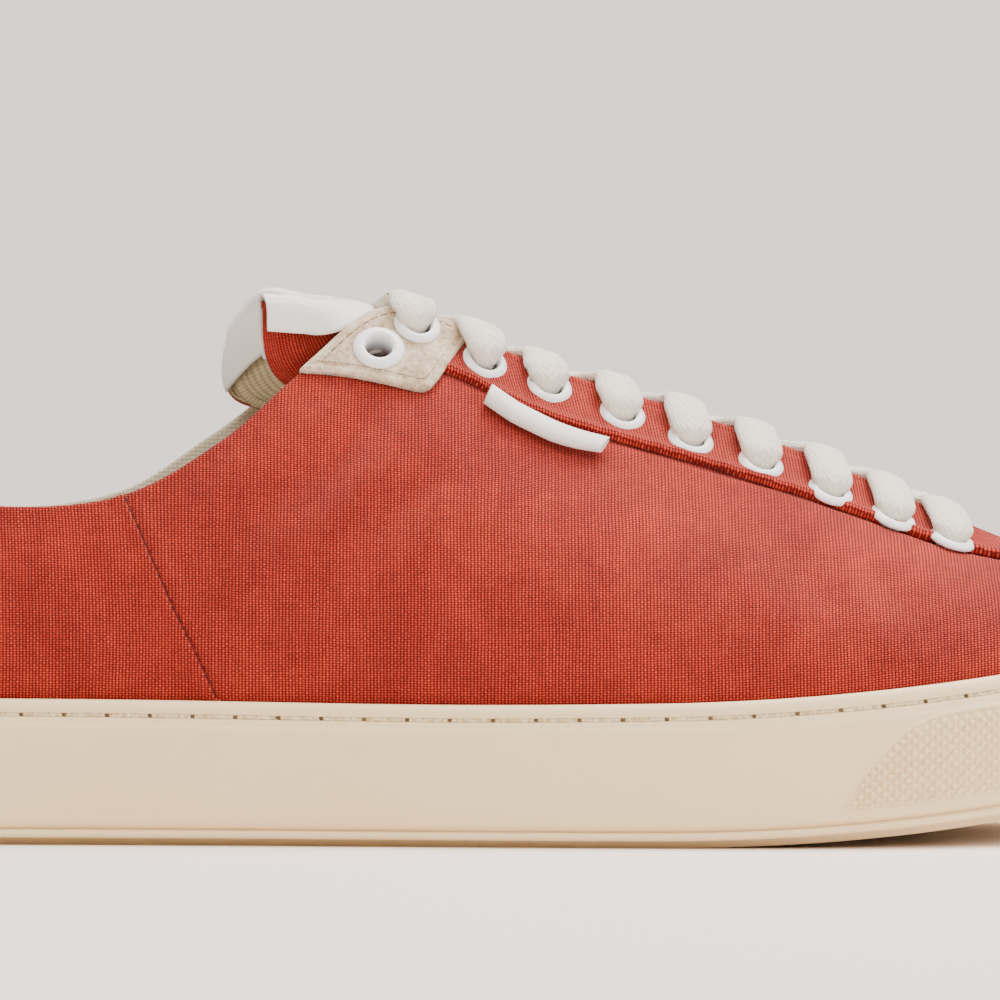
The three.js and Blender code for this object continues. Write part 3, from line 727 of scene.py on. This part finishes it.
# ---- suede corners: the lower outline in side view, from the collar's edge round to the throat's edge
cornerOutline = [(-27.2, 90.0), (-26.0, 89.9), (-22.0, 89.6), (-18.4, 89.2), (-14.0, 88.4), (-9.8, 87.5),
                 (-5.0, 86.3), (-3.3, 86.2), (-2.2, 86.7), (-0.6, 88.6), (1.2, 91.6), (3.2, 94.4),
                 (4.9, 96.6)]
cornerHeight = 1.62
cornerFold = np.array([(2.0, -2.6), (0.2, -2.75), (-0.7, -2.4), (-1.1, -1.2), (-1.0, 0.2), (-0.5, 1.2)])


def cornerLine(side, inset=0.0):  # the lower outline as stations and distances, drawn in by an inset
    points = np.array(cornerOutline)
    t = np.linspace(0, 1, len(points))
    fine = np.linspace(0, 1, 160)
    line = np.stack([np.interp(fine, t, points[:, c]) for c in range(2)], -1)
    for _ in range(6):
        line[1:-1] = (line[:-2] + line[2:] + line[1:-1] * 2) / 4
    way = unit(np.gradient(line, axis=0))
    line = line + np.stack([-way[:, 1], way[:, 0]], -1) * inset
    s, v = onSide(line[:, 0], line[:, 1], side)
    r, _ = sectionRun(s, v)
    return s, r


def makeCorners(suede, thread):
    stitches = bmesh.new()
    for side, name in ((-1, "lateral"), (1, "medial")):
        s, r = cornerLine(side)
        n = len(s)
        folds = len(cornerFold)
        rows = 30

        def shape(a, b):
            k = a * (n - 1)
            sa, ra = np.interp(k, range(n), s), np.interp(k, range(n), r)
            row = np.round(b * (folds + rows)).astype(int)
            t = np.clip((row - folds) / (rows - 2), 0, 1)
            t = 1 - (1 - t)**1.6
            depth, out = ra * t, np.full(len(a), cornerHeight)
            edge = np.minimum(ra * (1 - t), np.minimum(a, 1 - a) * 60)
            out = out - 0.35 * np.exp(-(edge / 0.35)**2) - 0.22 * np.exp(-((edge - 1.7) / 0.45)**2)
            last = row >= folds + rows - 1
            out = np.where(last, np.where(row == folds + rows, 0.1, 0.9), out)
            folded = row < folds
            fold = cornerFold[np.minimum(row, folds - 1)]
            depth = np.where(folded, fold[:, 0] * np.minimum(1, 0.4 + ra / 4), depth)
            out = np.where(folded, fold[:, 1], out)
            return skin(sa, depth, out)

        def place(a, b):
            k = a * (n - 1)
            return np.stack([np.interp(k, range(n), s) * 14, b * 16], -1)
        bm = gridPiece(200, folds + rows, shape, place)
        punchHoles(bm, 2)
        bmesh.ops.recalc_face_normals(bm, faces=bm.faces)
        piece = pieceFrom(bm, "suedeCorner_" + name, [suede], ["patch_" + name])
        wall = piece.modifiers.new("hide", "SOLIDIFY")
        wall.thickness = 0.5 * mm
        wall.offset = -1
        sIn, rIn = cornerLine(side, inset=1.8)
        keep = rIn > 0.9
        stitchRow(stitches, skin(sIn[keep], rIn[keep], cornerHeight - 0.08), lastNormal(sIn[keep], 0.8),
                  length=1.7, step=2.2, radius=0.16)
        sTop = np.linspace(s[keep].min() + 0.12, s[keep].max() - 0.06, 200)
        stitchRow(stitches, skin(sTop, 1.7, cornerHeight + 0.02), lastNormal(sTop, 0.95),
                  length=1.7, step=2.2, radius=0.16)
    pieceFrom(stitches, "cornerStitches", [thread])
    print("suede corners")


# ---- lace: one flat cord through every eyelet but the lock ones
laceSize = dict(wide=8.6, thick=2.9, holeWide=5.2, holeThick=2.9, around=24, step=0.5)


def lacePath():
    # rows of place, way out, width and thickness, for one chain from the toe's bar up each side in turn
    chains = []
    for first in (-1, 1):
        rows = []
        side = first
        for k in range(9, 0, -1):
            s, v, at, normal = eyeletAt(side, k)
            s2, v2, at2, normal2 = eyeletAt(-side, k - 1)
            sNext = eyeletAt(side, k - 1)[0]
            sFar = eyeletAt(-side, k)[0]
            leave = s + (sNext - s) * 0.05
            leaveTop = s + (sNext - s) * 0.14
            arrive = sFar + (s2 - sFar) * 0.78
            seat = max(eyeletSeat(k), eyeletSeat(k - 1) if k == 2 else 0)
            edgeA, edgeB = lastPoint(leaveTop, 1.0), lastPoint(arrive, 1.0)
            up = np.array([0.35, 0, 0.94])
            toEdge = unit(lastPoint(leave, 1.0) - at)
            lift = 0.9 if first < 0 else -0.5
            w, t, hw, ht = laceSize["wide"], laceSize["thick"], laceSize["holeWide"], laceSize["holeThick"]
            rows += [
                (at - normal * 2.2 + toEdge * 0.3, -toEdge * 0.8 + normal * 0.6, hw, ht),
                (at + normal * (seat - 0.1) + toEdge * 0.4, -toEdge * 0.9 + normal * 0.5, hw * 1.05, ht),
                (at + normal * (seat + 1.5) + toEdge * 0.9, normal - toEdge * 0.5, w * 0.94, t),
                (at + normal * (seat + 2.2) + toEdge * 3.0, normal - toEdge * 0.1, w, t),
                (skin(np.array(leave), np.array(1.6), np.array(seat + 2.0)), normal, w, t),
                (lastPoint(leave, 1.0) + up * 1.9 + toEdge * 0.9, normal * 0.4 + up, w, t),
                (edgeA * 0.82 + edgeB * 0.18 + up * 1.2, up, w, t),
                (edgeA * 0.5 + edgeB * 0.5 + up * (lift - 0.4), up, w, t),
                (edgeA * 0.2 + edgeB * 0.8 - up * 1.4, up, w, t * 0.9),
                (skin(np.array(arrive), np.array(2.0), np.array(-3.1)), up * 0.5 + normal2, w * 0.9, t * 0.8),
            ]
            end = at2 - normal2 * 3.4 if k > 1 else skin(np.array(arrive), np.array(7.0), np.array(-3.6))
            rows.append((end, normal2, w * 0.8, t * 0.8))
            side = -side
        chains.append(rows)
    _, _, left, leftWay = eyeletAt(-1, 9)
    _, _, right, rightWay = eyeletAt(1, 9)
    bar = [(left * (1 - t) + right * t - np.array([0, 0, 3.4 - 2.2 * math.sin(math.pi * t)]),
            leftWay * (1 - t) + rightWay * t, 6.5, 1.8) for t in (0.1, 0.3, 0.5, 0.7, 0.9)]
    return chains[0][::-1] + bar + chains[1]


def makeLace(cotton):
    rows = lacePath()
    places = np.array([np.asarray(row[0], float).reshape(3) for row in rows])
    ways = unit(np.array([np.asarray(row[1], float).reshape(3) for row in rows]))
    sizes = np.array([row[2:] for row in rows], float)
    t = np.concatenate([[0], np.cumsum(np.sqrt(np.linalg.norm(np.diff(places, axis=0), axis=-1)))])

    def spline(values, at):  # smooth curve through uneven places
        k = np.clip(np.searchsorted(t, at) - 1, 0, len(t) - 2)
        slopes = np.gradient(values, t, axis=0)
        h = (t[k + 1] - t[k])[:, None]
        f = ((at - t[k]) / (t[k + 1] - t[k]))[:, None]
        return (values[k] * (2 * f**3 - 3 * f**2 + 1) + slopes[k] * h * (f**3 - 2 * f**2 + f)
                + values[k + 1] * (3 * f**2 - 2 * f**3) + slopes[k + 1] * h * (f**3 - f**2))
    fine = spline(places, np.linspace(0, t[-1], 6000))
    run = runAlong(fine)
    steps = int(run[-1] / laceSize["step"])
    at = np.interp(np.linspace(0, run[-1], steps + 1), run, np.linspace(0, t[-1], 6000))
    centre, way, size = spline(places, at), unit(spline(ways, at)), spline(sizes, at)
    size = np.clip(size, [4.6, 1.6], [8.9, 3.3])
    forward = unit(np.gradient(centre, axis=0))
    way = unit(way - forward * np.sum(way * forward, -1, keepdims=True))
    for _ in range(4):
        way[1:-1] = unit(way[:-2] + way[1:-1] * 2 + way[2:])
    across = np.cross(forward, way)
    around = laceSize["around"]

    def shape(a, b):
        k = np.round(a * steps).astype(int)
        turn = b * 2 * np.pi
        c, d = np.cos(turn), np.sin(turn)
        x = np.sign(c) * np.abs(c)**0.75 * size[k, 0] / 2
        y = np.sign(d) * np.abs(d)**0.8 * size[k, 1] / 2
        braid = 0.09 * np.sin(a * run[-1] * 2 * np.pi / 2.1 + np.abs(x) * 2.2) * np.abs(d)
        rough = 0.14 * np.sin(a * run[-1] * 3.7 + x * 5.1) * np.sin(a * run[-1] * 1.3 - x * 2.9)
        y = y + np.sign(d) * (braid + rough)
        return centre[k] + across[k] * x[:, None] + way[k] * y[:, None]

    def place(a, b):
        return np.stack([a * run[-1], b * 2 * (laceSize["wide"] + laceSize["thick"])], -1)
    bm = gridPiece(steps, around, shape, place, wrap=True)
    bmesh.ops.holes_fill(bm, edges=[e for e in bm.edges if e.is_boundary], sides=0)
    bmesh.ops.recalc_face_normals(bm, faces=bm.faces)
    pieceFrom(bm, "lace", [cotton], ["lace_cross_%d" % k for k in range(1, 10)])
    print("lace", round(run[-1]), "mm")


# ---- tongue: rows across it from under the vamp to the free end, wings under the facings
wingRows = [  # outer and inner station, width under the facing, extra depth
    (12.4, 15.6, 8, 0.6), (11.4, 16.6, 12, 0.6), (10, 18, 15, 0.3), (9, 19, 18, 0), (8, 20, 20, 0.6),
    (7, 21, 23, 2.2)]
freeRows = [  # the last one is the end of the tongue
    [(-31, -18.5, 88), (-24, -15.6, 91), (-16, -11.6, 96.6), (-11.5, 2.8, 99.6), (-20, 14.6, 95),
     (-30.5, 19.8, 88.5), (-40.5, 23.4, 84.5)],
    [(-35, -21, 104), (-28.5, -18, 103.6), (-23, -13.8, 102.6), (-18.6, 1, 102.6), (-27, 16.5, 105),
     (-36, 22, 106.2), (-43, 24, 98.6)]]
tongueSize = dict(thick=2.6, under=4.3, crown=0.8, columns=96, rows=160, cloth=(56, 165),
                  rim=(60, 150))  # rim: about how far its edges are from one another


def tongueRows():
    rows = []
    for outer, inner, wing, deeper in wingRows:
        sunk = -tongueSize["under"] - deeper
        left = [skin(np.array(outer), np.array(wing * share), np.array(sunk)) for share in (1, 0.6, 0.25, 0)]
        right = [skin(np.array(inner), np.array(wing * share), np.array(sunk)) for share in (0, 0.25, 0.6, 1)]
        middle = (left[3] + right[0]) / 2 + np.array([0, 0, tongueSize["crown"]])
        rows.append(left[:3] + [middle] + right[1:])
    return np.array(rows + freeRows, float)


def bend(control, a, b):  # smooth sheet through a table of points: a across a row, b along the rows
    def weights(t):
        return [-0.5 * t + t**2 - 0.5 * t**3, 1 - 2.5 * t**2 + 1.5 * t**3, 0.5 * t + 2 * t**2 - 1.5 * t**3,
                -0.5 * t**2 + 0.5 * t**3]
    rows, columns = control.shape[:2]
    x, y = a * (columns - 1), b * (rows - 1)
    i, j = np.clip(x.astype(int), 0, columns - 2), np.clip(y.astype(int), 0, rows - 2)
    total = 0
    for m, wy in enumerate(weights(y - j)):
        for n, wx in enumerate(weights(x - i)):
            total = total + control[np.clip(j + m - 1, 0, rows - 1), np.clip(i + n - 1, 0, columns - 1)] \
                * (wx * wy)[:, None]
    return total


tongueControl = tongueRows()


def tongueAt(a, b, out=0.0):
    h = 0.004
    control = tongueControl
    across = bend(control, np.minimum(a + h, 1), b) - bend(control, np.maximum(a - h, 0), b)
    up = bend(control, a, np.minimum(b + h, 1)) - bend(control, a, np.maximum(b - h, 0))
    return bend(control, a, b) + unit(np.cross(across, up)) * np.asarray(out)[..., None]


tongueLabel = dict(span=(0.012, 0.985), cloth=42, wall=0.45, stretch=1.08, fold=[
    (7.0, 2.5), (3, 2.4), (0.6, 2.1), (-0.5, 1.6), (-1.0, 0.7), (-1.1, 0), (-1.0, -0.7), (-0.5, -1.45),
    (0.6, -1.75), (4, -1.8), (8, -1.85), (12.5, -1.85)])  # fold: distance down the tongue, height over its middle


def makeTongue(cloth, ribbed, satin):
    size = tongueSize

    def shape(a, b):
        edge = np.minimum(np.minimum(a, 1 - a) * size["rim"][0], (1 - b) * size["rim"][1])
        sunk = 0.5 * np.exp(-edge**2) + 0.3 * np.exp(-((edge - 4) / 0.6)**2)  # rounded edge, sewn line
        return tongueAt(a, b, size["thick"] / 2 - sunk)

    def place(a, b):
        return np.stack([a * size["cloth"][0], b * size["cloth"][1]], -1)
    bm = gridPiece(size["columns"], size["rows"], shape, place)
    tongue = pieceFrom(bm, "tongue", [cloth, ribbed], ["tongue"])
    wall = tongue.modifiers.new("pad", "SOLIDIFY")
    wall.thickness = size["thick"] * mm
    wall.offset = -1
    wall.material_offset = 1
    fold, (left, right) = np.array(tongueLabel["fold"]), tongueLabel["span"]
    lastRow = 1 / (len(tongueControl) - 1)

    def labelShape(a, b):
        rows = pathAt(fold, b)
        across = left + a * (right - left)
        h = 0.02
        ones = np.ones_like(a)
        end = tongueAt(across, ones)
        down = unit(tongueAt(across, ones - h) - end)
        steps = np.maximum(rows[:, 0], 0)
        reach = np.linalg.norm(tongueAt(across, ones - lastRow) - end, axis=-1) * tongueLabel["stretch"]
        body = tongueAt(across, 1 - np.clip(steps / reach, 0, 1.6) * lastRow, rows[:, 1])
        ripple = 0.15 * np.sin(a * 23) * np.sin(b * 9)
        return body + down * np.minimum(rows[:, 0], 0)[:, None] + ripple[:, None] * 0.3

    def labelPlace(a, b):
        return np.stack([a * tongueLabel["cloth"], pathAt(fold, b)[:, 0]], -1)
    bm = gridPiece(120, 60, labelShape, labelPlace)
    label = pieceFrom(bm, "tongueLabel", [satin], ["tongue_label"])
    wall = label.modifiers.new("ribbon", "SOLIDIFY")
    wall.thickness = tongueLabel["wall"] * mm
    wall.offset = 1
    print("tongue")


# ---- side label: a ribbon rolled to a small tube and sewn into the facing's seam
sideLabel = dict(high=4.3, proud=3.8, wall=0.4, lean=(0.42, 0, 0.9),
                 run=[(8.2, 84.6), (13.5, 81.6), (21, 78.2), (26, 76.3), (31, 74.6)])  # x and z


def makeSideLabel(satin):
    run = np.array(sideLabel["run"])

    def shape(a, b):
        x = np.interp(a, np.linspace(0, 1, len(run)), run[:, 0])
        z = np.interp(a, np.linspace(0, 1, len(run)), run[:, 1]) - 0.9 * np.sin(a * math.pi)
        s, v = onSide(x, z)
        normal = lastNormal(s, v)
        lean = np.array(sideLabel["lean"])
        upward = unit(lean - normal * (normal @ lean)[:, None])
        turn = b * 2 * np.pi
        pinch = 1 - 0.35 * a**3 - 0.12 * np.sin(a * math.pi)
        swell = 1 + 0.12 * np.sin(a * math.pi)
        across = np.sign(np.cos(turn)) * np.abs(np.cos(turn))**0.85 * sideLabel["high"] / 2 * swell
        out = np.sin(turn) * sideLabel["proud"] / 2 * pinch
        out = out + sideLabel["proud"] / 2 + 0.35
        return lastPoint(s, v) + upward * across[:, None] + normal * out[:, None]

    def place(a, b):
        return np.stack([a * 25, b * 11], -1)
    bm = gridPiece(70, 32, shape, place, wrap=True)
    bmesh.ops.recalc_face_normals(bm, faces=bm.faces)
    label = pieceFrom(bm, "sideLabel", [satin], ["side_label"])
    wall = label.modifiers.new("ribbon", "SOLIDIFY")
    wall.thickness = sideLabel["wall"] * mm
    wall.offset = -1
    print("side label")


# ---- insole
insoleSize = dict(inset=6.3, high=5.3, dish=0.96, foam=4, past=1.12)


def makeInsole(cloth):
    size = insoleSize

    def shape(a, b):
        ring = 1 - np.clip(b * size["past"], 0, 1)  # 1 at the edge, 0 on the middle line
        s = a * stations
        plan = outline(s, size["inset"])
        middle = (plan + outline(stations - s, size["inset"])) / 2
        at = middle + (plan - middle) * np.sqrt(ring)[:, None]
        z = floorZ(at[:, 0]) + size["high"] - size["dish"] * (1 - ring)
        return np.concatenate([at, z[:, None]], -1)

    def place(a, b):
        return shape(a, b)[:, :2]
    bm = gridPiece(300, 40, shape, place, wrap=True)
    bmesh.ops.recalc_face_normals(bm, faces=bm.faces)
    sole = pieceFrom(bm, "insole", [cloth], ["insole"])
    wall = sole.modifiers.new("foam", "SOLIDIFY")
    wall.thickness = insoleSize["foam"] * mm
    wall.offset = -1
    print("insole")


# ---- sole
soleWall = [  # inset from the outline and height over the bottom, tread to cup
    (9.0, 0.0), (4.8, 0.0), (4.4, 1.3), (1.5, 1.5), (0.95, 1.75), (0.7, 2.1), (0.75, 2.6), (1.2, 2.95),
    (2.1, 3.15), (2.0, 3.4), (1.0, 3.9), (0.75, 4.6), (0.5, 6.5), (0.25, 9.5), (0.08, 13), (0.0, 17),
    (0.05, 20), (0.15, 22.2), (0.2, 22.9), (0.42, 23.15), (0.5, 23.6), (0.55, 24.1), (0.62, 24.3),
    (1.1, 24.6), (1.2, 24.95), (1.1, 25.3), (0.72, 25.6), (0.78, 26.4), (0.95, 27.1), (1.3, 27.6),
    (1.8, 27.9), (3.3, 27.9), (3.8, 27.7), (3.9, 27.0), (3.9, 18.0),
]
outerWall = slice(2, 31)  # the rows of it that rise, tread to rim
tread = dict(depth=1.6, wide=3.0, pitch=10.5, tooth=5.0, step=15.0, border=11.0, rows=52, columns=640,
             fields=[(-132, 6), (14, 9)])  # each field's first groove and count


def treadDepth(x, y):  # zigzag grooves across the heel and the forefoot
    dx = tread["tooth"] * (1 - np.abs(((y + 60) / tread["step"]) % 2 - 1))
    depth = np.zeros_like(x)
    for first, count in tread["fields"]:
        k = np.floor((x - dx - first) / tread["pitch"])
        into = x - dx - first - k * tread["pitch"]
        side = smooth(into, 0, 0.3) * (1 - smooth(into, tread["wide"] - 0.3, tread["wide"]))
        depth += np.where((k >= 0) & (k < count), side, 0) * tread["depth"]
    return depth


def makeSole(rubber):
    rings = np.array(soleWall)

    def shape(a, b):
        row = np.round(b * (len(rings) - 1 + tread["rows"])).astype(int) - tread["rows"]
        inset, up = rings[np.maximum(row, 0), 0], rings[np.maximum(row, 0), 1]
        plan = outline(a * stations, inset)
        middle = (plan + outline(stations - a * stations, inset)) / 2
        share = np.clip(row / tread["rows"] + 1, 0, 1)[:, None]
        plan = middle + (plan - middle) * share
        half = np.linalg.norm(outline(a * stations, tread["border"]) - middle, axis=-1)
        inside = (row < 0) & (np.linalg.norm(plan - middle, axis=-1) < half)
        z = bottomZ(plan[:, 0]) + (rimZ(plan[:, 0]) - bottomZ(plan[:, 0])) * up / soleSize["rim"]
        z = z + np.where(inside, treadDepth(plan[:, 0], plan[:, 1]), 0)
        return np.concatenate([plan, z[:, None]], -1)
    bm = gridPiece(tread["columns"], len(rings) - 1 + tread["rows"], shape, wrap=True)
    bmesh.ops.remove_doubles(bm, verts=bm.verts, dist=1e-6)
    bmesh.ops.holes_fill(bm, edges=[e for e in bm.edges if e.is_boundary], sides=0)
    bmesh.ops.recalc_face_normals(bm, faces=bm.faces)
    pieceFrom(bm, "cupSole", [rubber], ["sole"])
    print("sole")


def wallPoint(s, up, out=0.0):  # point of the cup's outer wall at a height over the bottom
    rising = np.array(soleWall)[outerWall]
    inset = np.interp(up, rising[:, 1], rising[:, 0]) - out
    plan = outline(s, inset)
    z = bottomZ(plan[:, 0]) + (rimZ(plan[:, 0]) - bottomZ(plan[:, 0])) * up / soleSize["rim"]
    return np.concatenate([plan, z[:, None]], -1)


wallStitch = dict(up=24.95, length=7.2, step=8.2, radius=0.42, hole=0.72, holeBack=0.42, holeIn=0.3)


def makeWallStitches(thread, dark):
    s = np.linspace(0, stations, 3000)
    points = wallPoint(s, np.full(3000, wallStitch["up"]), 0.1)
    normals = unit(np.cross(np.gradient(points, axis=0), np.array([0, 0, 1.0])))
    bm = bmesh.new()
    stitchRow(bm, points, normals, length=wallStitch["length"], step=wallStitch["step"],
              radius=wallStitch["radius"], flat=0.8, jitter=0.01)
    pieceFrom(bm, "wallStitches", [thread])
    run = runAlong(points)
    # Dark blobs sunk into the wall at each stitch's end: painted shade of the stitch holes.
    bm = bmesh.new()
    for k in range(int(run[-1] / wallStitch["step"])):
        place = k * wallStitch["step"] - wallStitch["holeBack"]
        at = [np.interp(place, run, points[:, c]) for c in range(3)]
        way = [np.interp(place, run, normals[:, c]) for c in range(3)]
        made = bmesh.ops.create_icosphere(bm, subdivisions=1, radius=wallStitch["hole"])["verts"]
        for vert in made:
            vert.co.z *= 0.75
            vert.co = (vert.co + Vector(at) - Vector(way) * wallStitch["holeIn"]) * mm
    pieceFrom(bm, "stitchHoleShade", [dark])
    print("wall stitches")


# ---- toe bumper: a woven relief round the toe, its back end cut to an arc
bumper = dict(first=9.98, last=18.02, low=5.2, acrossPitch=2.3, upPitch=2.1, relief=0.8, bead=0.4,
              arc=[(74.8, 5.6), (77.5, 10.6), (81, 15.1), (86.2, 19.5), (90, 21.6), (94, 22.6),
                   (99, 22.9)])  # x, up


def makeBumper(rubber):
    size = bumper
    fine = np.linspace(size["first"], size["last"], 800)
    run = runAlong(outline(fine))
    arc = np.array(size["arc"])

    def shape(a, b):
        s = size["first"] + a * (size["last"] - size["first"])
        tall = np.interp(outline(s)[:, 0], arc[:, 0], arc[:, 1]) - size["low"]
        up = size["low"] + b * tall
        u, w = np.interp(s, fine, run), up
        x, y = u / size["acrossPitch"], w / size["upPitch"]
        p, q = (x + y) % 1, (x - y) % 1
        lozenge = smooth(np.minimum(np.minimum(p, 1 - p), np.minimum(q, 1 - q)), 0.02, 0.34)
        steep = np.clip(np.gradient(arc[:, 1], arc[:, 0]), 0, 9)
        lean = 1 / np.sqrt(1 + np.interp(outline(s)[:, 0], arc[:, 0], steep)**2)  # distance square to the arc
        rim = np.minimum(np.minimum(b * tall, (1 - b) * tall * lean), np.minimum(a, 1 - a) * run[-1])
        inside = smooth(rim, 0.9, 1.3)
        bead = np.exp(-((rim - 0.5) / 0.3)**2)
        out = -0.3 + smooth(rim, 0.0, 0.2) * 0.25 + bead * size["bead"] + inside * size["relief"] * lozenge
        return wallPoint(s, up, out)

    bm = gridPiece(1000, 72, shape)
    bmesh.ops.recalc_face_normals(bm, faces=bm.faces)
    pieceFrom(bm, "toeBumper", [rubber])
    print("bumper")


# ---- stage: a round pale floor under an even pale sky
floorSize = dict(radius=3.0, sides=96)


def makeStage():
    made, flow, shader = newMaterial("paleFloor")
    cloud = flow.noise(flow.node("ShaderNodeTexCoord", output=3), 1.5, 2)
    base = cloud.mix(colour(240, 228, 221), colour(245, 234, 228))
    finish(flow, shader, base, roughness=0.9)
    bm = bmesh.new()
    bmesh.ops.create_circle(bm, cap_ends=True, segments=floorSize["sides"], radius=floorSize["radius"])
    mesh = bpy.data.meshes.new("floor")
    bm.to_mesh(mesh)
    bm.free()
    mesh.materials.append(made)
    floor = bpy.data.objects.new("floor", mesh)
    bpy.context.collection.objects.link(floor)
    world = bpy.data.worlds.new("studio")
    bpy.context.scene.world = world
    world.use_nodes = True
    seen = Flow(world.node_tree).node("ShaderNodeLightPath")  # the sky looks brighter than it lights
    sky = world.node_tree.nodes["Background"]
    sky.inputs["Color"].default_value = colour(244, 233, 225)
    world.node_tree.links.new((seen * 1.15 + 0.6).socket, sky.inputs["Strength"])
    lights = [  # name, place, size, power, colour
        ("keyLight", (-0.45, -0.8, 1.4), 0.8, 17, (255, 247, 238)),
        ("topLight", (0.4, 0.2, 1.4), 1.0, 46, (255, 252, 248)),
        ("fillLight", (1.3, -0.7, 0.8), 1.2, 18, (245, 248, 255)),
    ]
    for name, place, size, power, tint in lights:
        data = bpy.data.lights.new(name, "AREA")
        data.shape = "DISK"
        data.size = size
        data.energy = power
        data.color = colour(*tint)[:3]
        light = bpy.data.objects.new(name, data)
        light.location = place
        light.rotation_euler = (Vector((0, 0, 0.04)) - Vector(place)).to_track_quat("-Z", "Y").to_euler()
        bpy.context.collection.objects.link(light)
    camera = bpy.data.objects.new("camera", bpy.data.cameras.new("camera"))
    camera.location = (0.01125, -1.203, 0.0656)
    camera.rotation_euler = (math.pi / 2, 0, 0)
    camera.data.lens = 220.8
    camera.data.sensor_width = 36
    bpy.context.collection.objects.link(camera)
    bpy.context.scene.camera = camera
    print("stage")


facingLook = dict(clothLook, mid=(156, 24, 12), light=(220, 82, 54))
canvas, lining, rubber = canvasMaterial(), liningMaterial(), rubberMaterial()
redThread = threadMaterial("redThread", (150, 42, 28), (206, 84, 62))
beigeThread = threadMaterial("beigeThread", (118, 94, 66), (170, 144, 112))
makeUpper(canvas, lining)
# The heel seam's dark line is painted shade.
makeHeelSeam(canvas, threadMaterial("seamShade", (70, 12, 6), (104, 22, 12)))
makeFacing(canvasMaterial("facingRed", facingLook), redThread)
makeCorners(suedeMaterial(), beigeThread)
makeEyelets(enamelMaterial())
makeLace(cottonMaterial())
ribbed = ribbedMaterial()
satin = satinMaterial()
makeTongue(canvas, ribbed, satin)
makeSideLabel(satin)
makeInsole(ribbed)
makeSole(rubber)
# holeShade is painted shade in the sole's stitch holes.
makeWallStitches(threadMaterial("paleThread", (196, 172, 128), (240, 224, 190)),
                 threadMaterial("holeShade", (84, 68, 44), (110, 92, 64)))
makeBumper(rubber)
makeStage()
